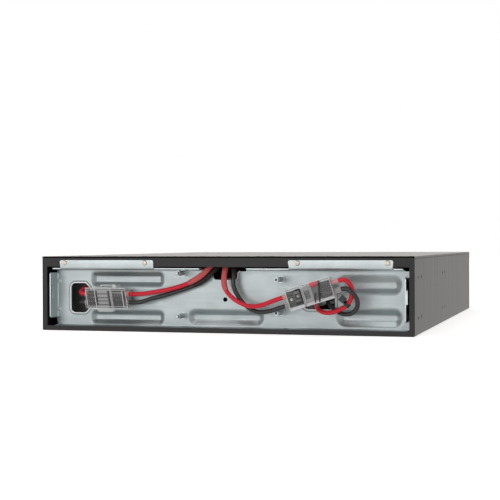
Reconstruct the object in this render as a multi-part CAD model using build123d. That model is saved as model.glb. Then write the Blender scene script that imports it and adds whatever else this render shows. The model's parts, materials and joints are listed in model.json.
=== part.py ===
from build123d import *
import os
from math import cos, radians, sin, tan

# External battery module for a 2U rack: a black sheet-steel case with its bezel off, a zinc-plated
# retainer plate across the front, two packs of sealed blocks behind it and two pairs of plugs.
# Millimetres, +X right, +Y towards the rear, +Z up, origin at the centre of the base.

# ---- driving dimensions ----
case_width = 438.0
case_depth = 560.0
case_height = 86.5
sheet = 1.2

lid_height = 2.5
side_lip = 5.9
bottom_lip = 5.7
top_lip = 12.0
fold_r = 1.6

web_y = 20.0
web_left = -209.5
web_right = 208.0
web_bottom = 3.6
web_top = 72.9
bead_depth = 4.0
ear_inner = 79.5
ear_outer = 196.0
ear_top = 82.1
lip_screw_x = (-190.0, -90.0, 90.0, 190.0)
lip_screw_z = 79.0
screw_hole_r = 1.6

rack_hole_r = 2.0
rack_hole_pitch_y = 25.0
rack_hole_pitch_z = 44.0
rack_group_y = (36.5, 246.5)
rack_group_z = 41.2

solid_standoff_places = ((-50.2, 67.2), (-50.2, 18.2))
threaded_standoff_places = ((66.4, 60.6), (66.4, 23.7))
standoff_tip = -4.0
standoff_shoulder = 1.0

block_width = 94.0
block_length = 151.0
block_thickness = 65.0
block_rows = 3
terminal_gap = 12.0
pack_x = 106.0
pack_front = 56.0

lead_d = 5.0
sleeve_d = 6.6
run_share = 0.45
loom_x = 0.4
loom_width = 30.0
loom_height = 9.0
loom_z = 76.5
loom_start = 60.0
loom_end = 520.0

plug_height = 24.6
plug_thickness = 15.0
plug_wall = 1.1
core_height = 17.6
pole_pitch = 9.8
half_length = 26.0
parting_u = 7.2
plug_collar_reach = 5.4
socket_collar_reach = {"left": 2.6, "right": 7.4}
lock_span = (-11.4, -2.6)
left_axis = (-138.6, 7.0, 38.0)
right_axis = (108.3, -13.0, 46.1)
right_tilt = 17.1

receptacle_x = (-24.0, 24.0)
receptacle_z = 70.0
breaker_x = 160.0
breaker_z = 44.0
spare_port_x = 82.0
spare_port_z = 44.0
ground_x = 200.0
ground_z = 18.0
vent_x = -190.0
vent_count = 9
vent_pitch = 8.0
case_screw_places = ((-205, 77), (-100, 77), (100, 77), (205, 77), (-205, 8), (-60, 8), (60, 8))

front_y = -case_depth / 2
side_x = case_width / 2
side_top = case_height - lid_height

os.makedirs("parts", exist_ok=True)
parts = {}


# ---- helpers ----
def at(x, y, z):
    """A point given by its distance behind the case's front plane."""
    return Vector(x, front_y + y, z)


def box(x0, x1, y0, y1, z0, z1):
    """A box between two corners, y counted from the front plane."""
    size = (x1 - x0, y1 - y0, z1 - z0)
    middle = at((x0 + x1) / 2, (y0 + y1) / 2, (z0 + z1) / 2)
    return Pos(middle) * Box(*size)


def front_plane(y):
    """A drawing plane seen from the front: local x is X, local y is Z."""
    return Plane(origin=at(0, y, 0), x_dir=(1, 0, 0), z_dir=(0, -1, 0))


def rounded(x0, x1, z0, z1, radius, y):
    """A rounded rectangle on the drawing plane at y."""
    outline = RectangleRounded(x1 - x0, z1 - z0, radius)
    return front_plane(y) * Pos((x0 + x1) / 2, (z0 + z1) / 2) * outline


def along_y(radius, x, z, y0, y1, inner=0.0):
    """A cylinder, or a tube with an inner radius, from y0 back to y1."""
    turned = Rot(90, 0, 0) * Cylinder(radius, y1 - y0)
    if inner:
        turned -= Rot(90, 0, 0) * Cylinder(inner, y1 - y0)
    return Pos(at(x, (y0 + y1) / 2, z)) * turned


def along_x(radius, x0, x1, y, z, inner=0.0):
    """A cylinder, or a tube with an inner radius, from x0 to x1."""
    turned = Rot(0, 90, 0) * Cylinder(radius, x1 - x0)
    if inner:
        turned -= Rot(0, 90, 0) * Cylinder(inner, x1 - x0)
    return Pos(at((x0 + x1) / 2, y, z)) * turned


def mirrored(shape):
    return mirror(shape, about=Plane.YZ)


def group(*solids):
    return Compound(children=[solid for item in solids for solid in item.solids()])


def corner_radii(points, count):
    """Radii of the first corners of a route: the largest tangent arcs that its runs allow."""
    runs = [points[i + 1] - points[i] for i in range(count + 1)]
    radii = []
    for before, after in zip(runs, runs[1:]):
        shorter = min(before.length, after.length)
        radii.append(run_share * shorter / tan(radians(before.get_angle(after) / 2)))
    return radii


def lead_path(points, label):
    """Straight runs joined by tangent arcs."""
    radii = corner_radii(points, len(points) - 2)
    path = FilletPolyline(*points, radius=radii)
    print(f"{label}: length {path.length:.1f}, radii", " ".join(f"{r:.1f}" for r in radii))
    return path


def tube(path, diameter, label, inner=0.0):
    """A round tube along a path, checked against its section times its length."""
    section = Circle(diameter / 2)
    if inner:
        section -= Circle(inner / 2)
    solid = sweep(Plane(origin=path @ 0, z_dir=path % 0) * section, path=path)
    ratio = solid.volume / (section.area * path.length)
    print(f"{label}: volume is {ratio:.4f} of section times length")
    return solid


# ---- case ----
def make_chassis():
    """U-shaped tray: bottom and two sides, with the rack-ear holes."""
    outer = box(-side_x, side_x, sheet, case_depth - sheet, 0, side_top)
    bottom_edges = outer.edges().filter_by(Axis.Y).group_by(Axis.Z)[0]
    outer = fillet(bottom_edges, fold_r)
    top_edges = outer.edges().filter_by(Axis.Y).group_by(Axis.Z)[-1]
    outer = chamfer(top_edges, 0.5)
    inner_x = side_x - sheet
    hollow = box(-inner_x, inner_x, 0, case_depth, sheet, side_top + 5)
    tray = outer - hollow
    for hole in rack_holes(side_x + 1):
        tray -= hole
    return tray


def rack_holes(reach):
    """Cylinders through both side walls, one line per hole pair."""
    holes = []
    for group_y in rack_group_y:
        for y in (group_y - rack_hole_pitch_y / 2, group_y + rack_hole_pitch_y / 2):
            for z in (rack_group_z - rack_hole_pitch_z / 2, rack_group_z + rack_hole_pitch_z / 2):
                holes.append(along_x(rack_hole_r, -reach, reach, y, z))
    return holes


def make_rack_nuts():
    """Rivet nuts pressed behind the rack-ear holes."""
    nuts = []
    inner_x = side_x - sheet
    for group_y in rack_group_y:
        for y in (group_y - rack_hole_pitch_y / 2, group_y + rack_hole_pitch_y / 2):
            for z in (rack_group_z - rack_hole_pitch_z / 2, rack_group_z + rack_hole_pitch_z / 2):
                nut = along_x(3.6, inner_x - 4.5, inner_x, y, z, inner=rack_hole_r)
                nuts.append(nut)
                nuts.append(mirrored(nut))
    return group(*nuts)


def make_front_frame():
    """The lips round the front opening, with a folded return along the top."""
    plate = box(-side_x, side_x, 0, sheet, 0, side_top)
    low_edges = plate.edges().filter_by(Axis.Y).group_by(Axis.Z)[0]
    plate = fillet(low_edges, fold_r)
    opening = box(-side_x + side_lip, side_x - side_lip, -1, 3, bottom_lip, case_height - top_lip)
    plate -= opening
    top_return = box(-side_x + side_lip, side_x - side_lip, sheet, 10, side_top - 1.2, side_top)
    frame = plate + top_return
    for x in lip_screw_x:
        frame -= along_y(screw_hole_r, x, lip_screw_z, -1, 3)
    return frame


def make_lid():
    """Top cover: a shallow pan whose edges turn down to the case sides."""
    outer = box(-side_x, side_x, 0, case_depth, side_top, case_height)
    top_edges = outer.edges().group_by(Axis.Z)[-1]
    outer = fillet(top_edges, 1.1)
    inner_x = side_x - sheet
    hollow = box(-inner_x, inner_x, sheet, case_depth - sheet, side_top - 1, case_height - sheet)
    return outer - hollow


def make_rear_panel():
    """Rear wall with the cut-outs for the receptacles, the breaker and a spare data port."""
    panel = box(-side_x, side_x, case_depth - sheet, case_depth, 0, side_top)
    low_edges = panel.edges().filter_by(Axis.Y).group_by(Axis.Z)[0]
    panel = fillet(low_edges, fold_r)
    for x in receptacle_x:
        panel -= box(x - 18, x + 18, 550, 565, receptacle_z - 10, receptacle_z + 10)
    panel -= box(breaker_x - 10, breaker_x + 10, 550, 565, breaker_z - 17, breaker_z + 17)
    panel -= box(spare_port_x - 7, spare_port_x + 7, 550, 565, spare_port_z - 6, spare_port_z + 6)
    panel -= along_y(2.5, ground_x, ground_z, 550, 565)
    for x, z in case_screw_places:
        panel -= along_y(screw_hole_r, x, z, 550, 565)
    for i in range(vent_count):
        x = vent_x + i * vent_pitch
        slot = rounded(x - 1.5, x + 1.5, 24, 60, 1.4, 550)
        panel -= extrude(slot, -20)
    return panel


def pan_screw(x, z, y, facing, shank):
    """A pan-head screw with a cross recess; facing is -1 at the front, 1 at the rear."""
    head = Sphere(4.4) & Pos(0, 0, 4.4) * Box(9, 9, 2.8)
    head = head & Cylinder(3.1, 20)
    recess = Box(3.4, 0.9, 2.4) + Box(0.9, 3.4, 2.4)
    screw = Pos(0, 0, -3.0) * head - Pos(0, 0, 1.6) * recess
    screw += Pos(0, 0, -shank / 2) * Cylinder(1.5, shank)
    turn = Rot(90, 0, 0) if facing < 0 else Rot(-90, 0, 0)
    return Pos(at(x, y, z)) * turn * screw


# ---- retainer plate ----
beads = (
    # left, right, bottom, top, corner radius, slope
    (-166.6, -73.4, 49.8, 69.4, 7.0, 6.8),
    (-166.6, -73.4, 6.0, 24.4, 7.0, 6.8),
    (-45.3, 46.8, 7.0, 26.0, 9.0, 7.0),
    (130.0, 203.8, 42.4, 66.0, 11.0, 9.2),
    (128.0, 204.4, 7.0, 29.6, 11.0, 8.8),
)
left_cutout = (-191.0, -167.0, 20.3, 54.6)
right_cutout = (92.3, 127.5, 27.3, 51.3)
notch = (-14.0, 14.4, 59.5)
notch_cutaway = (-23.0, 28.0)
cutout_r = 5.0
sloped_corner = 6.0


def cutout_cut(cutout, sloped):
    """The body of a cut-out through the web; the corners on its right side may be cut at 45 degrees."""
    x0, x1, z0, z1 = cutout
    block = box(x0, x1, web_y - 10, web_y + 10, z0, z1)
    corners = block.edges().filter_by(Axis.Y).group_by(Axis.X)
    if not sloped:
        return fillet(corners[0] + corners[-1], cutout_r)
    block = chamfer(corners[-1], sloped_corner)
    return fillet(block.edges().filter_by(Axis.Y).group_by(Axis.X)[0], cutout_r)


def bead_cut(left, right, bottom, top, radius, slope):
    mouth = rounded(left, right, bottom, top, radius, web_y - 0.01)
    floor_radius = max(radius - slope, 1.6)
    floor = rounded(left + slope, right - slope, bottom + slope, top - slope,
                    floor_radius, web_y + bead_depth)
    return loft([mouth, floor])


def bead_shell(left, right, bottom, top, radius, slope):
    mouth = rounded(left - 0.9, right + 0.9, bottom - 0.9, top + 0.9, radius + 0.9, web_y + 0.4)
    floor_radius = max(radius - slope, 1.6) + 0.5
    inset = slope - 0.5
    floor = rounded(left + inset, right - inset, bottom + inset, top - inset,
                    floor_radius, web_y + bead_depth + sheet)
    return loft([mouth, floor])


def make_retainer_plate():
    back = web_y + sheet
    web = box(web_left, web_right, web_y, back, web_bottom, web_top)
    for z0, z1 in ((63.0, web_top), (web_bottom, 15.0)):
        web += box(web_right, 212.0, web_y, back, z0, z1)
    plate = web
    for bead in beads:
        plate += bead_shell(*bead)
    # top flange with its ears, bottom flange and side flanges, all turned forward
    plate += box(-207.5, 206.6, 1.2, back, web_top - sheet, web_top)
    for sign in (-1, 1):
        x0, x1 = sorted((sign * ear_inner, sign * ear_outer))
        plate += box(x0, x1, -sheet, 2, web_top - sheet, web_top)
        ear = rounded(x0, x1, web_top - sheet, ear_top, 2.0, 0)
        ear = extrude(ear, sheet)
        ear += box(x0, x1, -sheet, 0, web_top - sheet, web_top + 3)
        plate += ear
    plate += box(-206, 206, 3, back, web_bottom, web_bottom + sheet)
    plate += box(web_left - sheet, web_left, 2, back, 14.5, 67.5)
    plate += box(web_right, web_right + sheet, 2, back, 15, 63)
    plate += box(web_right + sheet, 211, 2, 2 + sheet, 34, 49.8)
    # cut-outs
    for bead in beads:
        plate -= bead_cut(*bead)
    plate -= cutout_cut(left_cutout, True)
    plate -= cutout_cut(right_cutout, False)
    x0, x1, z0 = notch
    plate -= extrude(rounded(x0, x1, z0, z0 + 40, 3.0, 10), -20)
    plate -= box(notch_cutaway[0], notch_cutaway[1], -5, 18.5, 70, 75)
    plate -= box(web_left - 5, web_left + 0.01, 4.2, 7.6, 35.0, 53.8)
    plate -= along_y(2.6, 0, 37, 10, 30)
    for x in lip_screw_x:
        plate -= along_y(screw_hole_r, x, lip_screw_z, -5, 3)
    for x, z in solid_standoff_places + threaded_standoff_places:
        plate -= along_y(1.9, x, z, 10, 30)
    return plate


def make_cutout_trim(cutout, sloped):
    """A rolled edge ring round a cut-out, with the same corners as the cut-out."""
    x0, x1, z0, z1 = cutout
    ring = box(x0 - 3.0, x1 + 3.6, web_y - 1.0, web_y, z0 - 3.4, z1 + 3.0)
    corners = ring.edges().filter_by(Axis.Y).group_by(Axis.X)
    if sloped:
        ring = chamfer(corners[-1], sloped_corner + 1.8)
        ring = fillet(ring.edges().filter_by(Axis.Y).group_by(Axis.X)[0], cutout_r + 2)
    else:
        ring = fillet(corners[0] + corners[-1], cutout_r + 2)
    return ring - cutout_cut(cutout, sloped)


def make_solid_standoff(x, z):
    """Round stud with a smaller round tip beyond a neck, and a collar on the web."""
    tip = along_y(2.1, x, z, standoff_tip, standoff_shoulder - 1.6)
    tip = fillet(tip.edges().group_by(Axis.Y)[0], 1.2)
    neck = along_y(1.6, x, z, standoff_shoulder - 1.6, standoff_shoulder)
    post = along_y(2.9, x, z, standoff_shoulder, web_y)
    collar = along_y(4.0, x, z, web_y - 1.0, web_y)
    tail = along_y(1.9, x, z, web_y, web_y + 2.4)
    return tip + neck + post + collar + tail


def make_threaded_standoff(x, z):
    """Hexagonal spacer with a round end, tapped from its free end."""
    length = web_y - standoff_shoulder
    post = extrude(front_plane(web_y) * Pos(x, z) * RegularPolygon(3.2, 6), length)
    barrel = along_y(2.4, x, z, standoff_tip, standoff_shoulder)
    collar = along_y(4.2, x, z, web_y - 1.0, web_y)
    tail = along_y(1.9, x, z, web_y, web_y + 2.4)
    return post + barrel + collar + tail - along_y(1.5, x, z, standoff_tip - 1, standoff_tip + 9)


# ---- battery packs ----
def make_pack_tray(sign):
    """Sheet tray under one pack, with a finger tab folded up at its front."""
    half = block_width + terminal_gap / 2 + 0.4
    length = block_rows * block_length + 2.0
    x0 = sign * pack_x - half - sheet
    x1 = sign * pack_x + half + sheet
    y1 = pack_front + length + 2 * sheet
    tray = box(x0, x1, pack_front, y1, sheet, 60)
    tray -= box(x0 + sheet, x1 - sheet, pack_front + sheet, y1 - sheet, 2 * sheet, 70)
    tray -= box(x0 - 1, x1 + 1, pack_front + 20, y1 - 20, 24, 70)
    window = rounded(sign * pack_x - 30, sign * pack_x + 30, 14, 32, 6, pack_front - 10)
    return tray - extrude(window, -20)


def block_places(sign):
    """Centre of each block and the way its terminals face."""
    places = []
    for column in (-1, 1):
        x = sign * pack_x + column * (block_width + terminal_gap) / 2
        for row in range(block_rows):
            y = pack_front + sheet + 1.0 + block_length * (row + 0.5)
            places.append((x, y, -column))
    return places


def make_blocks(sign):
    """Sealed blocks laid on their sides, each with the groove between case and cover."""
    blocks = []
    z = 2 * sheet + block_thickness / 2
    for x, y, facing in block_places(sign):
        body = Pos(at(x, y, z)) * Box(block_width, block_length - 0.6, block_thickness)
        groove_x = x + facing * (block_width / 2 - 7)
        ring = Box(0.8, block_length + 2, block_thickness + 2)
        ring -= Box(2, block_length - 1.8, block_thickness - 1.2)
        blocks.append(body - Pos(at(groove_x, y, z)) * ring)
    return group(*blocks)


def terminal_places(sign):
    places = []
    z = 2 * sheet + block_thickness / 2
    for x, y, facing in block_places(sign):
        face_x = x + facing * block_width / 2
        for dz in (-20, 20):
            places.append((face_x, y - facing * 62, z + dz, facing))
    return places


def make_terminals(sign):
    """Blade terminals standing on the covers."""
    tabs = []
    for x, y, z, facing in terminal_places(sign):
        x0, x1 = sorted((x, x + facing * 4.4))
        tabs.append(box(x0, x1, y - 3.2, y + 3.2, z - 0.4, z + 0.4))
    return tabs


def make_jumpers(sign):
    """Flat straps that link the blocks of one column in series."""
    straps = []
    tabs = terminal_places(sign)
    for column in range(2):
        for row in range(block_rows - 1):
            x, y, z, facing = tabs[column * 2 * block_rows + row * 2 + row % 2]
            x0, x1 = sorted((x + facing * 4.4, x + facing * 5.6))
            straps.append(box(x0, x1, y - 4, y + block_length + 4, z - 4, z + 4))
    return straps


def make_fuse(sign):
    """Moulded in-line fuse holder between the two columns."""
    half = terminal_gap / 2
    y = pack_front + sheet + 1.0 + block_length / 2
    holder = box(sign * pack_x - half, sign * pack_x + half, y - 21, y + 21, 24, 46)
    return fillet(holder.edges().filter_by(Axis.X), 3)


# ---- plugs ----
def plug_plane(centre, tilt, sign):
    """Local frame of a plug pair: u towards the harness side, v up across it."""
    x, y, z = centre
    run = Vector(sign * cos(radians(tilt)), 0, -sin(radians(tilt)))
    up = Vector(sign * sin(radians(tilt)), 0, cos(radians(tilt)))
    return Plane(origin=at(x, y, z), x_dir=run, z_dir=up)


def slab(u0, u1, height, thickness, v=0.0, w=0.0):
    return Pos((u0 + u1) / 2, w, v) * Box(u1 - u0, thickness, height)


def bar_u(radius, u0, u1, v):
    return Pos((u0 + u1) / 2, 0, v) * Rot(0, 90, 0) * Cylinder(radius, u1 - u0)


def make_socket_parts(side):
    """Battery-side half: open sleeve, core at its closed end, pins and lead collars."""
    inner_h = plug_height - 2 * plug_wall
    inner_t = plug_thickness - 2 * plug_wall
    shell = slab(-half_length, parting_u, plug_height, plug_thickness)
    shell = fillet(shell.edges().filter_by(Axis.X), 2.0)
    shell -= slab(-half_length + plug_wall, parting_u + 1, inner_h, inner_t)
    rail = slab(-11, parting_u + 3.5, 4.0, 7.0, v=-plug_height / 2 - 1.9)
    rail = chamfer(rail.edges().filter_by(Axis.Y).group_by(Axis.Z)[0], 1.8)
    shell += rail - slab(parting_u, parting_u + 5, 1.6, 9.0, v=-plug_height / 2)
    core = slab(-half_length + plug_wall, -12, core_height, inner_t)
    pins = []
    collars = []
    for v in (-pole_pitch / 2, pole_pitch / 2):
        shell -= bar_u(3.1, -half_length - 1, -half_length + 3, v)
        core -= bar_u(1.15, -16, -11, v)
        core -= bar_u(3.1, -half_length, -half_length + 3.4, v)
        pin = bar_u(1.15, -16, 2.0, v)
        pins.append(pin)
        collar = bar_u(3.1, -half_length - socket_collar_reach[side], -half_length + 3.4, v)
        collars.append(collar)
    return shell, core, pins, collars


def make_plug_parts():
    """Harness-side half: shell, core with a nose for the sleeve, contacts, collars."""
    inner_h = plug_height - 2 * plug_wall
    inner_t = plug_thickness - 2 * plug_wall
    start = parting_u + 0.3
    shell = slab(start, half_length, plug_height, plug_thickness)
    shell = fillet(shell.edges().filter_by(Axis.X), 2.0)
    shell -= slab(start - 1, half_length - plug_wall, inner_h, inner_t)
    core = slab(-10.5, start, core_height, inner_t - 1.0)
    core += slab(start, half_length - plug_wall, core_height, inner_t)
    contacts = []
    collars = []
    for v in (-pole_pitch / 2, pole_pitch / 2):
        shell -= bar_u(3.1, half_length - 3, half_length + 1, v)
        core -= bar_u(2.4, -11, 6, v)
        core -= bar_u(3.1, half_length - 3.4, half_length, v)
        contact = bar_u(2.4, -9.5, 6, v) - bar_u(1.5, -10, 4, v)
        contacts.append(contact)
        collar = bar_u(3.1, half_length - 3.4, half_length + plug_collar_reach, v)
        collars.append(collar)
    return shell, core, contacts, collars


latch_pivot_u = 9.9
latch_pivot_v = plug_height / 2 + 2.6


def make_lever_latch():
    """Rocking latch on the plug's narrow edge; its hook reaches over the sleeve."""
    lever = slab(-8.5, 14.6, 1.4, 8.0, v=latch_pivot_v)
    lever += slab(-8.5, -6.7, 1.6, 8.0, v=latch_pivot_v - 1.0)
    lever += Pos(latch_pivot_u, 0, latch_pivot_v) * Rot(90, 0, 0) * Cylinder(1.5, 8.0)
    return lever


def make_lever_cheeks():
    """Two cheeks that carry the latch's pivot on the plug's shell."""
    cheeks = []
    low = plug_height / 2
    for w in (-5.3, 5.3):
        cheek = Pos(latch_pivot_u, w, low + 1.9) * Box(4.6, 2.0, 3.8)
        cheeks.append(cheek)
    return cheeks


tongue_pivot_u = 17.0


def make_tongue_latch():
    """Springy press tongue in the plug's broad face, joined at its outer end."""
    face_w = plug_thickness / 2
    tongue = slab(parting_u + 1.6, tongue_pivot_u, 9.0, 1.1, w=face_w - 0.55)
    grip = slab(parting_u + 2.4, parting_u + 5.0, 6.0, 0.8, w=face_w + 0.3)
    return tongue + grip


def tongue_window():
    face_w = plug_thickness / 2
    return slab(parting_u + 1.1, tongue_pivot_u + 0.15, 10.0, 3.0, w=face_w)


def tongue_pocket():
    """Room in the core for the tongue to bend in."""
    face_w = plug_thickness / 2 - plug_wall
    return slab(parting_u + 0.6, tongue_pivot_u, 10.4, 3.4, w=face_w)


def make_lock():
    """Small red secondary lock seated under the sleeve's upper wall, over the core."""
    low = core_height / 2 + 0.2
    high = plug_height / 2 - plug_wall
    lock = slab(*lock_span, high - low, 9.0, v=(low + high) / 2)
    return chamfer(lock.edges().filter_by(Axis.Y).group_by(Axis.Z)[0], 0.7)


# ---- rear fittings ----
def make_receptacle(x):
    """Output socket: a flanged housing with an open two-pole cavity to the rear."""
    z = receptacle_z
    housing = box(x - 17.8, x + 17.8, loom_end, case_depth + 4, z - 9.8, z + 9.8)
    housing += box(x - 21, x + 21, case_depth, case_depth + 2, z - 13, z + 13)
    return housing - box(x - 15, x + 15, case_depth - 18, case_depth + 9, z - 7, z + 7)


def make_receptacle_pins(x):
    pins = []
    for dx in (-7, 7):
        pins.append(along_y(2.5, x + dx, receptacle_z, case_depth - 18, case_depth))
    return pins


toggle_y = case_depth + 3.0


def make_breaker():
    """Circuit breaker body with a slotted escutcheon for its toggle."""
    body = box(breaker_x - 9.8, breaker_x + 9.8, 516, case_depth, breaker_z - 16.8, breaker_z + 16.8)
    face = box(breaker_x - 13, breaker_x + 13, case_depth, case_depth + 3, breaker_z - 22, breaker_z + 22)
    cavity = box(breaker_x - 4, breaker_x + 4, case_depth - 9, case_depth + 9, breaker_z - 11, breaker_z + 11)
    axle = along_x(1.2, breaker_x - 4, breaker_x + 4, toggle_y - 4, breaker_z)
    return body + face - cavity + axle


def make_toggle():
    """Toggle lever, thrown up in its on position."""
    hub = Rot(0, 90, 0) * Cylinder(4.2, 6.8)
    lever = Pos(0, 9, 0) * Box(6.8, 14, 4.4)
    lever = fillet(lever.edges().group_by(Axis.Y)[-1], 1.2)
    bore = Rot(0, 90, 0) * Cylinder(1.35, 9)
    toggle = hub + lever - bore
    return Pos(at(breaker_x, toggle_y - 4, breaker_z)) * Rot(25, 0, 0) * toggle


def make_blanking_plug():
    """Snap-in cover that closes the cut-out of the spare data port."""
    z = spare_port_z
    body = box(spare_port_x - 6.8, spare_port_x + 6.8, case_depth - 6, case_depth, z - 5.8, z + 5.8)
    cover = box(spare_port_x - 8.6, spare_port_x + 8.6, case_depth, case_depth + 1.8, z - 7.6, z + 7.6)
    cover = fillet(cover.edges().filter_by(Axis.Y), 1.6)
    cover = chamfer(cover.edges().group_by(Axis.Y)[-1], 0.5)
    pull = box(spare_port_x - 3, spare_port_x + 3, case_depth + 1.8, case_depth + 3.0, z - 0.7, z + 0.7)
    return body + cover + pull


def make_ground_stud():
    """Ground stud with its flange outside and its nut inside the rear wall."""
    stud = along_y(2.5, ground_x, ground_z, 552, case_depth + 9)
    flange = along_y(5.0, ground_x, ground_z, case_depth, case_depth + 1.2)
    nut = extrude(front_plane(case_depth - sheet) * Pos(ground_x, ground_z) * RegularPolygon(4.6, 6), 4)
    return stud + flange + nut


# ---- leads ----
# Each route is a hand-set list of points: x, y behind the front plane, z.
lead_routes = {
    "left_harness_red_lead": (
        (-9.5, 59.9, 76.5), (-9.5, 46, 76.5), (-10.9, 31, 78.2), (-13.2, 18, 78.0), (-15.2, 9, 74.2),
        (-20.6, 6.2, 67.0), (-30, 6, 60.4), (-43, 6, 54.2), (-60, 6, 49.2), (-77, 6.4, 46.0),
        (-92, 7, 43.6), (-100, 7, 42.9), (-106.8, 7, 42.9)),
    "left_harness_black_lead": (
        (-2.9, 59.9, 76.5), (-2.9, 47, 76.5), (-4.4, 33, 77.6), (-7.4, 21, 75.6), (-12.4, 14.6, 69.6),
        (-20.4, 12.8, 61.6), (-30, 12.2, 55.2), (-44, 11.8, 49.6), (-59, 10.6, 45.0), (-74, 9.2, 40.4),
        (-86.5, 8.0, 37.6), (-94.5, 7.1, 34.7), (-100.8, 7, 33.1), (-106.8, 7, 33.1)),
    "right_harness_red_lead": (
        (3.7, 59.9, 76.5), (3.7, 46, 76.5), (4.1, 31, 78.2), (3.9, 17, 77.6), (3.7, 8.4, 72.4),
        (3.4, 5.2, 63.6), (3.7, 3.8, 54.6), (7.6, 2.4, 46.0), (15.4, 0.2, 39.2), (26, -2.4, 33.6),
        (38, -5.4, 30.6), (49.6, -8.8, 32.0), (59.4, -11.8, 35.4), (68.91, -13, 39.11),
        (76.56, -13, 41.46)),
    "right_harness_black_lead": (
        (10.3, 59.9, 76.5), (10.3, 47, 76.5), (10.6, 34, 78.2), (11.2, 21.5, 77.4), (12.8, 12.4, 71.6),
        (13.2, 9.0, 62.8), (13.2, 8.2, 54.6), (16.2, 7.8, 46.0), (21.6, 6.8, 38.2), (29.0, 4.6, 31.0),
        (38.6, 0.6, 26.0), (49.2, -4.4, 24.5), (60.2, -9.8, 26.0), (71.79, -13, 29.75),
        (79.44, -13, 32.10)),
    "right_battery_red_lead": (
        (138.95, -13, 60.65), (143.75, -13, 62.13), (149.2, -12.0, 59.4), (152.9, -10.2, 52.8),
        (152.8, -8.6, 44.8), (149.8, -7.0, 37.2), (143.8, -5.0, 31.4), (134.6, -2.4, 27.0),
        (124.4, 0.6, 24.2), (114.6, 4.4, 25.8), (108.6, 10.2, 30.6), (106.3, 18.0, 34.6),
        (105.2, 28.0, 37.0), (105.0, 42.0, 37.8), (105.0, 55.9, 37.8)),
    "right_battery_black_lead": (
        (141.83, -13, 51.29), (146.6, -13.4, 52.7), (152.4, -15.4, 49.6), (157.8, -13.2, 43.4),
        (159.4, -9.6, 35.8), (156.6, -5.8, 28.6), (149.8, -1.6, 23.8), (141.4, 2.4, 23.0),
        (133.2, 6.8, 25.8), (125.6, 11.8, 30.2), (119.6, 18.2, 34.2), (117.4, 28.0, 37.0),
        (117.0, 42.0, 37.8), (117.0, 55.9, 37.8)),
    "left_battery_red_lead": (
        (-167.3, 7, 42.9), (-172.0, 7, 42.9), (-175.0, 11.2, 45.0), (-175.0, 18.0, 47.8),
        (-173.4, 26.0, 49.8), (-172.0, 36.0, 50.2), (-171.4, 46.0, 49.6), (-171.4, 55.9, 49.6)),
    "left_battery_black_lead": (
        (-167.3, 7, 33.1), (-172.0, 7, 33.1), (-175.0, 11.6, 32.5), (-175.6, 18.4, 32.3),
        (-174.6, 26.6, 32.8), (-173.4, 36.0, 32.9), (-172.8, 46.0, 32.8), (-172.8, 55.9, 32.8)),
}

# how many points of its route each harness sleeve covers, and how far into the next run it reaches
sleeve_ends = {
    "left_harness_red_lead": (7, 0.72),
    "left_harness_black_lead": (7, 0.5),
    "right_harness_red_lead": (7, 0.9),
    "right_harness_black_lead": (6, 0.5),
}


def route(name):
    return [at(*point) for point in lead_routes[name]]


def make_sleeve(name):
    """Shrink sleeve over the first stretch of a harness lead."""
    count, share = sleeve_ends[name]
    points = route(name)
    end = points[count - 1] + (points[count] - points[count - 1]) * share
    path = FilletPolyline(*points[:count], end, radius=corner_radii(points, count - 1))
    return tube(path, sleeve_d, name + " sleeve", inner=lead_d)


tie_place = (146.6, -5.9, 34.8)
tie_run = (-6.2, 2.0, -5.4)


def make_tie_strap():
    """Band of the cable tie round the red lead."""
    plane = Plane(origin=at(*tie_place), z_dir=tie_run)
    band = Circle(lead_d / 2 + 1.4) - Circle(lead_d / 2 + 0.05)
    return extrude(plane * band, 1.8, both=True)


def make_tie_head():
    """Square head of the tie, standing off the band."""
    head = Pos(at(142.3, -8.6, 40.2)) * Rot(0, 41, 0) * Box(6.4, 5.0, 6.4)
    strap_ball = Plane(origin=at(*tie_place), z_dir=tie_run) * Cylinder(lead_d / 2 + 1.42, 30)
    return head - strap_ball


# ---- build every node ----
parts["chassis_tray"] = make_chassis()
parts["front_frame"] = make_front_frame()
parts["lid"] = make_lid()
parts["rear_panel"] = make_rear_panel()
parts["rack_ear_nuts"] = make_rack_nuts()
parts["case_screws"] = group(*[pan_screw(x, z, case_depth, 1, 5.0) for x, z in case_screw_places])
parts["retainer_plate"] = make_retainer_plate()
lip_screws = [pan_screw(x, lip_screw_z, -sheet, -1, 5.0) for x in lip_screw_x]
parts["retainer_screws"] = group(*lip_screws)
parts["solid_standoffs"] = group(*[make_solid_standoff(x, z) for x, z in solid_standoff_places])
parts["threaded_standoffs"] = group(*[make_threaded_standoff(x, z) for x, z in threaded_standoff_places])
parts["cutout_trims"] = group(make_cutout_trim(left_cutout, True), make_cutout_trim(right_cutout, False))

for side, sign in (("left", -1), ("right", 1)):
    parts[side + "_pack_tray"] = make_pack_tray(sign)
    parts[side + "_battery_blocks"] = make_blocks(sign)
parts["battery_terminals"] = group(*make_terminals(-1), *make_terminals(1))
parts["jumper_straps"] = group(*make_jumpers(-1), *make_jumpers(1))
parts["pack_fuses"] = group(make_fuse(-1), make_fuse(1))
pack_rear = pack_front + block_rows * block_length + 2.0 + 2 * sheet
parts["foam_pads"] = group(
    box(-150, -75, 26, pack_front, 8, 58), box(140, 200, 26, pack_front, 8, 58),
    box(-170, -80, pack_rear, case_depth - sheet, 8, 22), box(96, 136, pack_rear, case_depth - sheet, 8, 58))

parts["output_receptacles"] = group(*[make_receptacle(x) for x in receptacle_x])
pin_solids = [pin for x in receptacle_x for pin in make_receptacle_pins(x)]
parts["receptacle_pins"] = group(*pin_solids)
parts["breaker_body"] = make_breaker()
parts["breaker_toggle"] = make_toggle()
parts["blanking_plug"] = make_blanking_plug()
parts["ground_stud"] = make_ground_stud()

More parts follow.
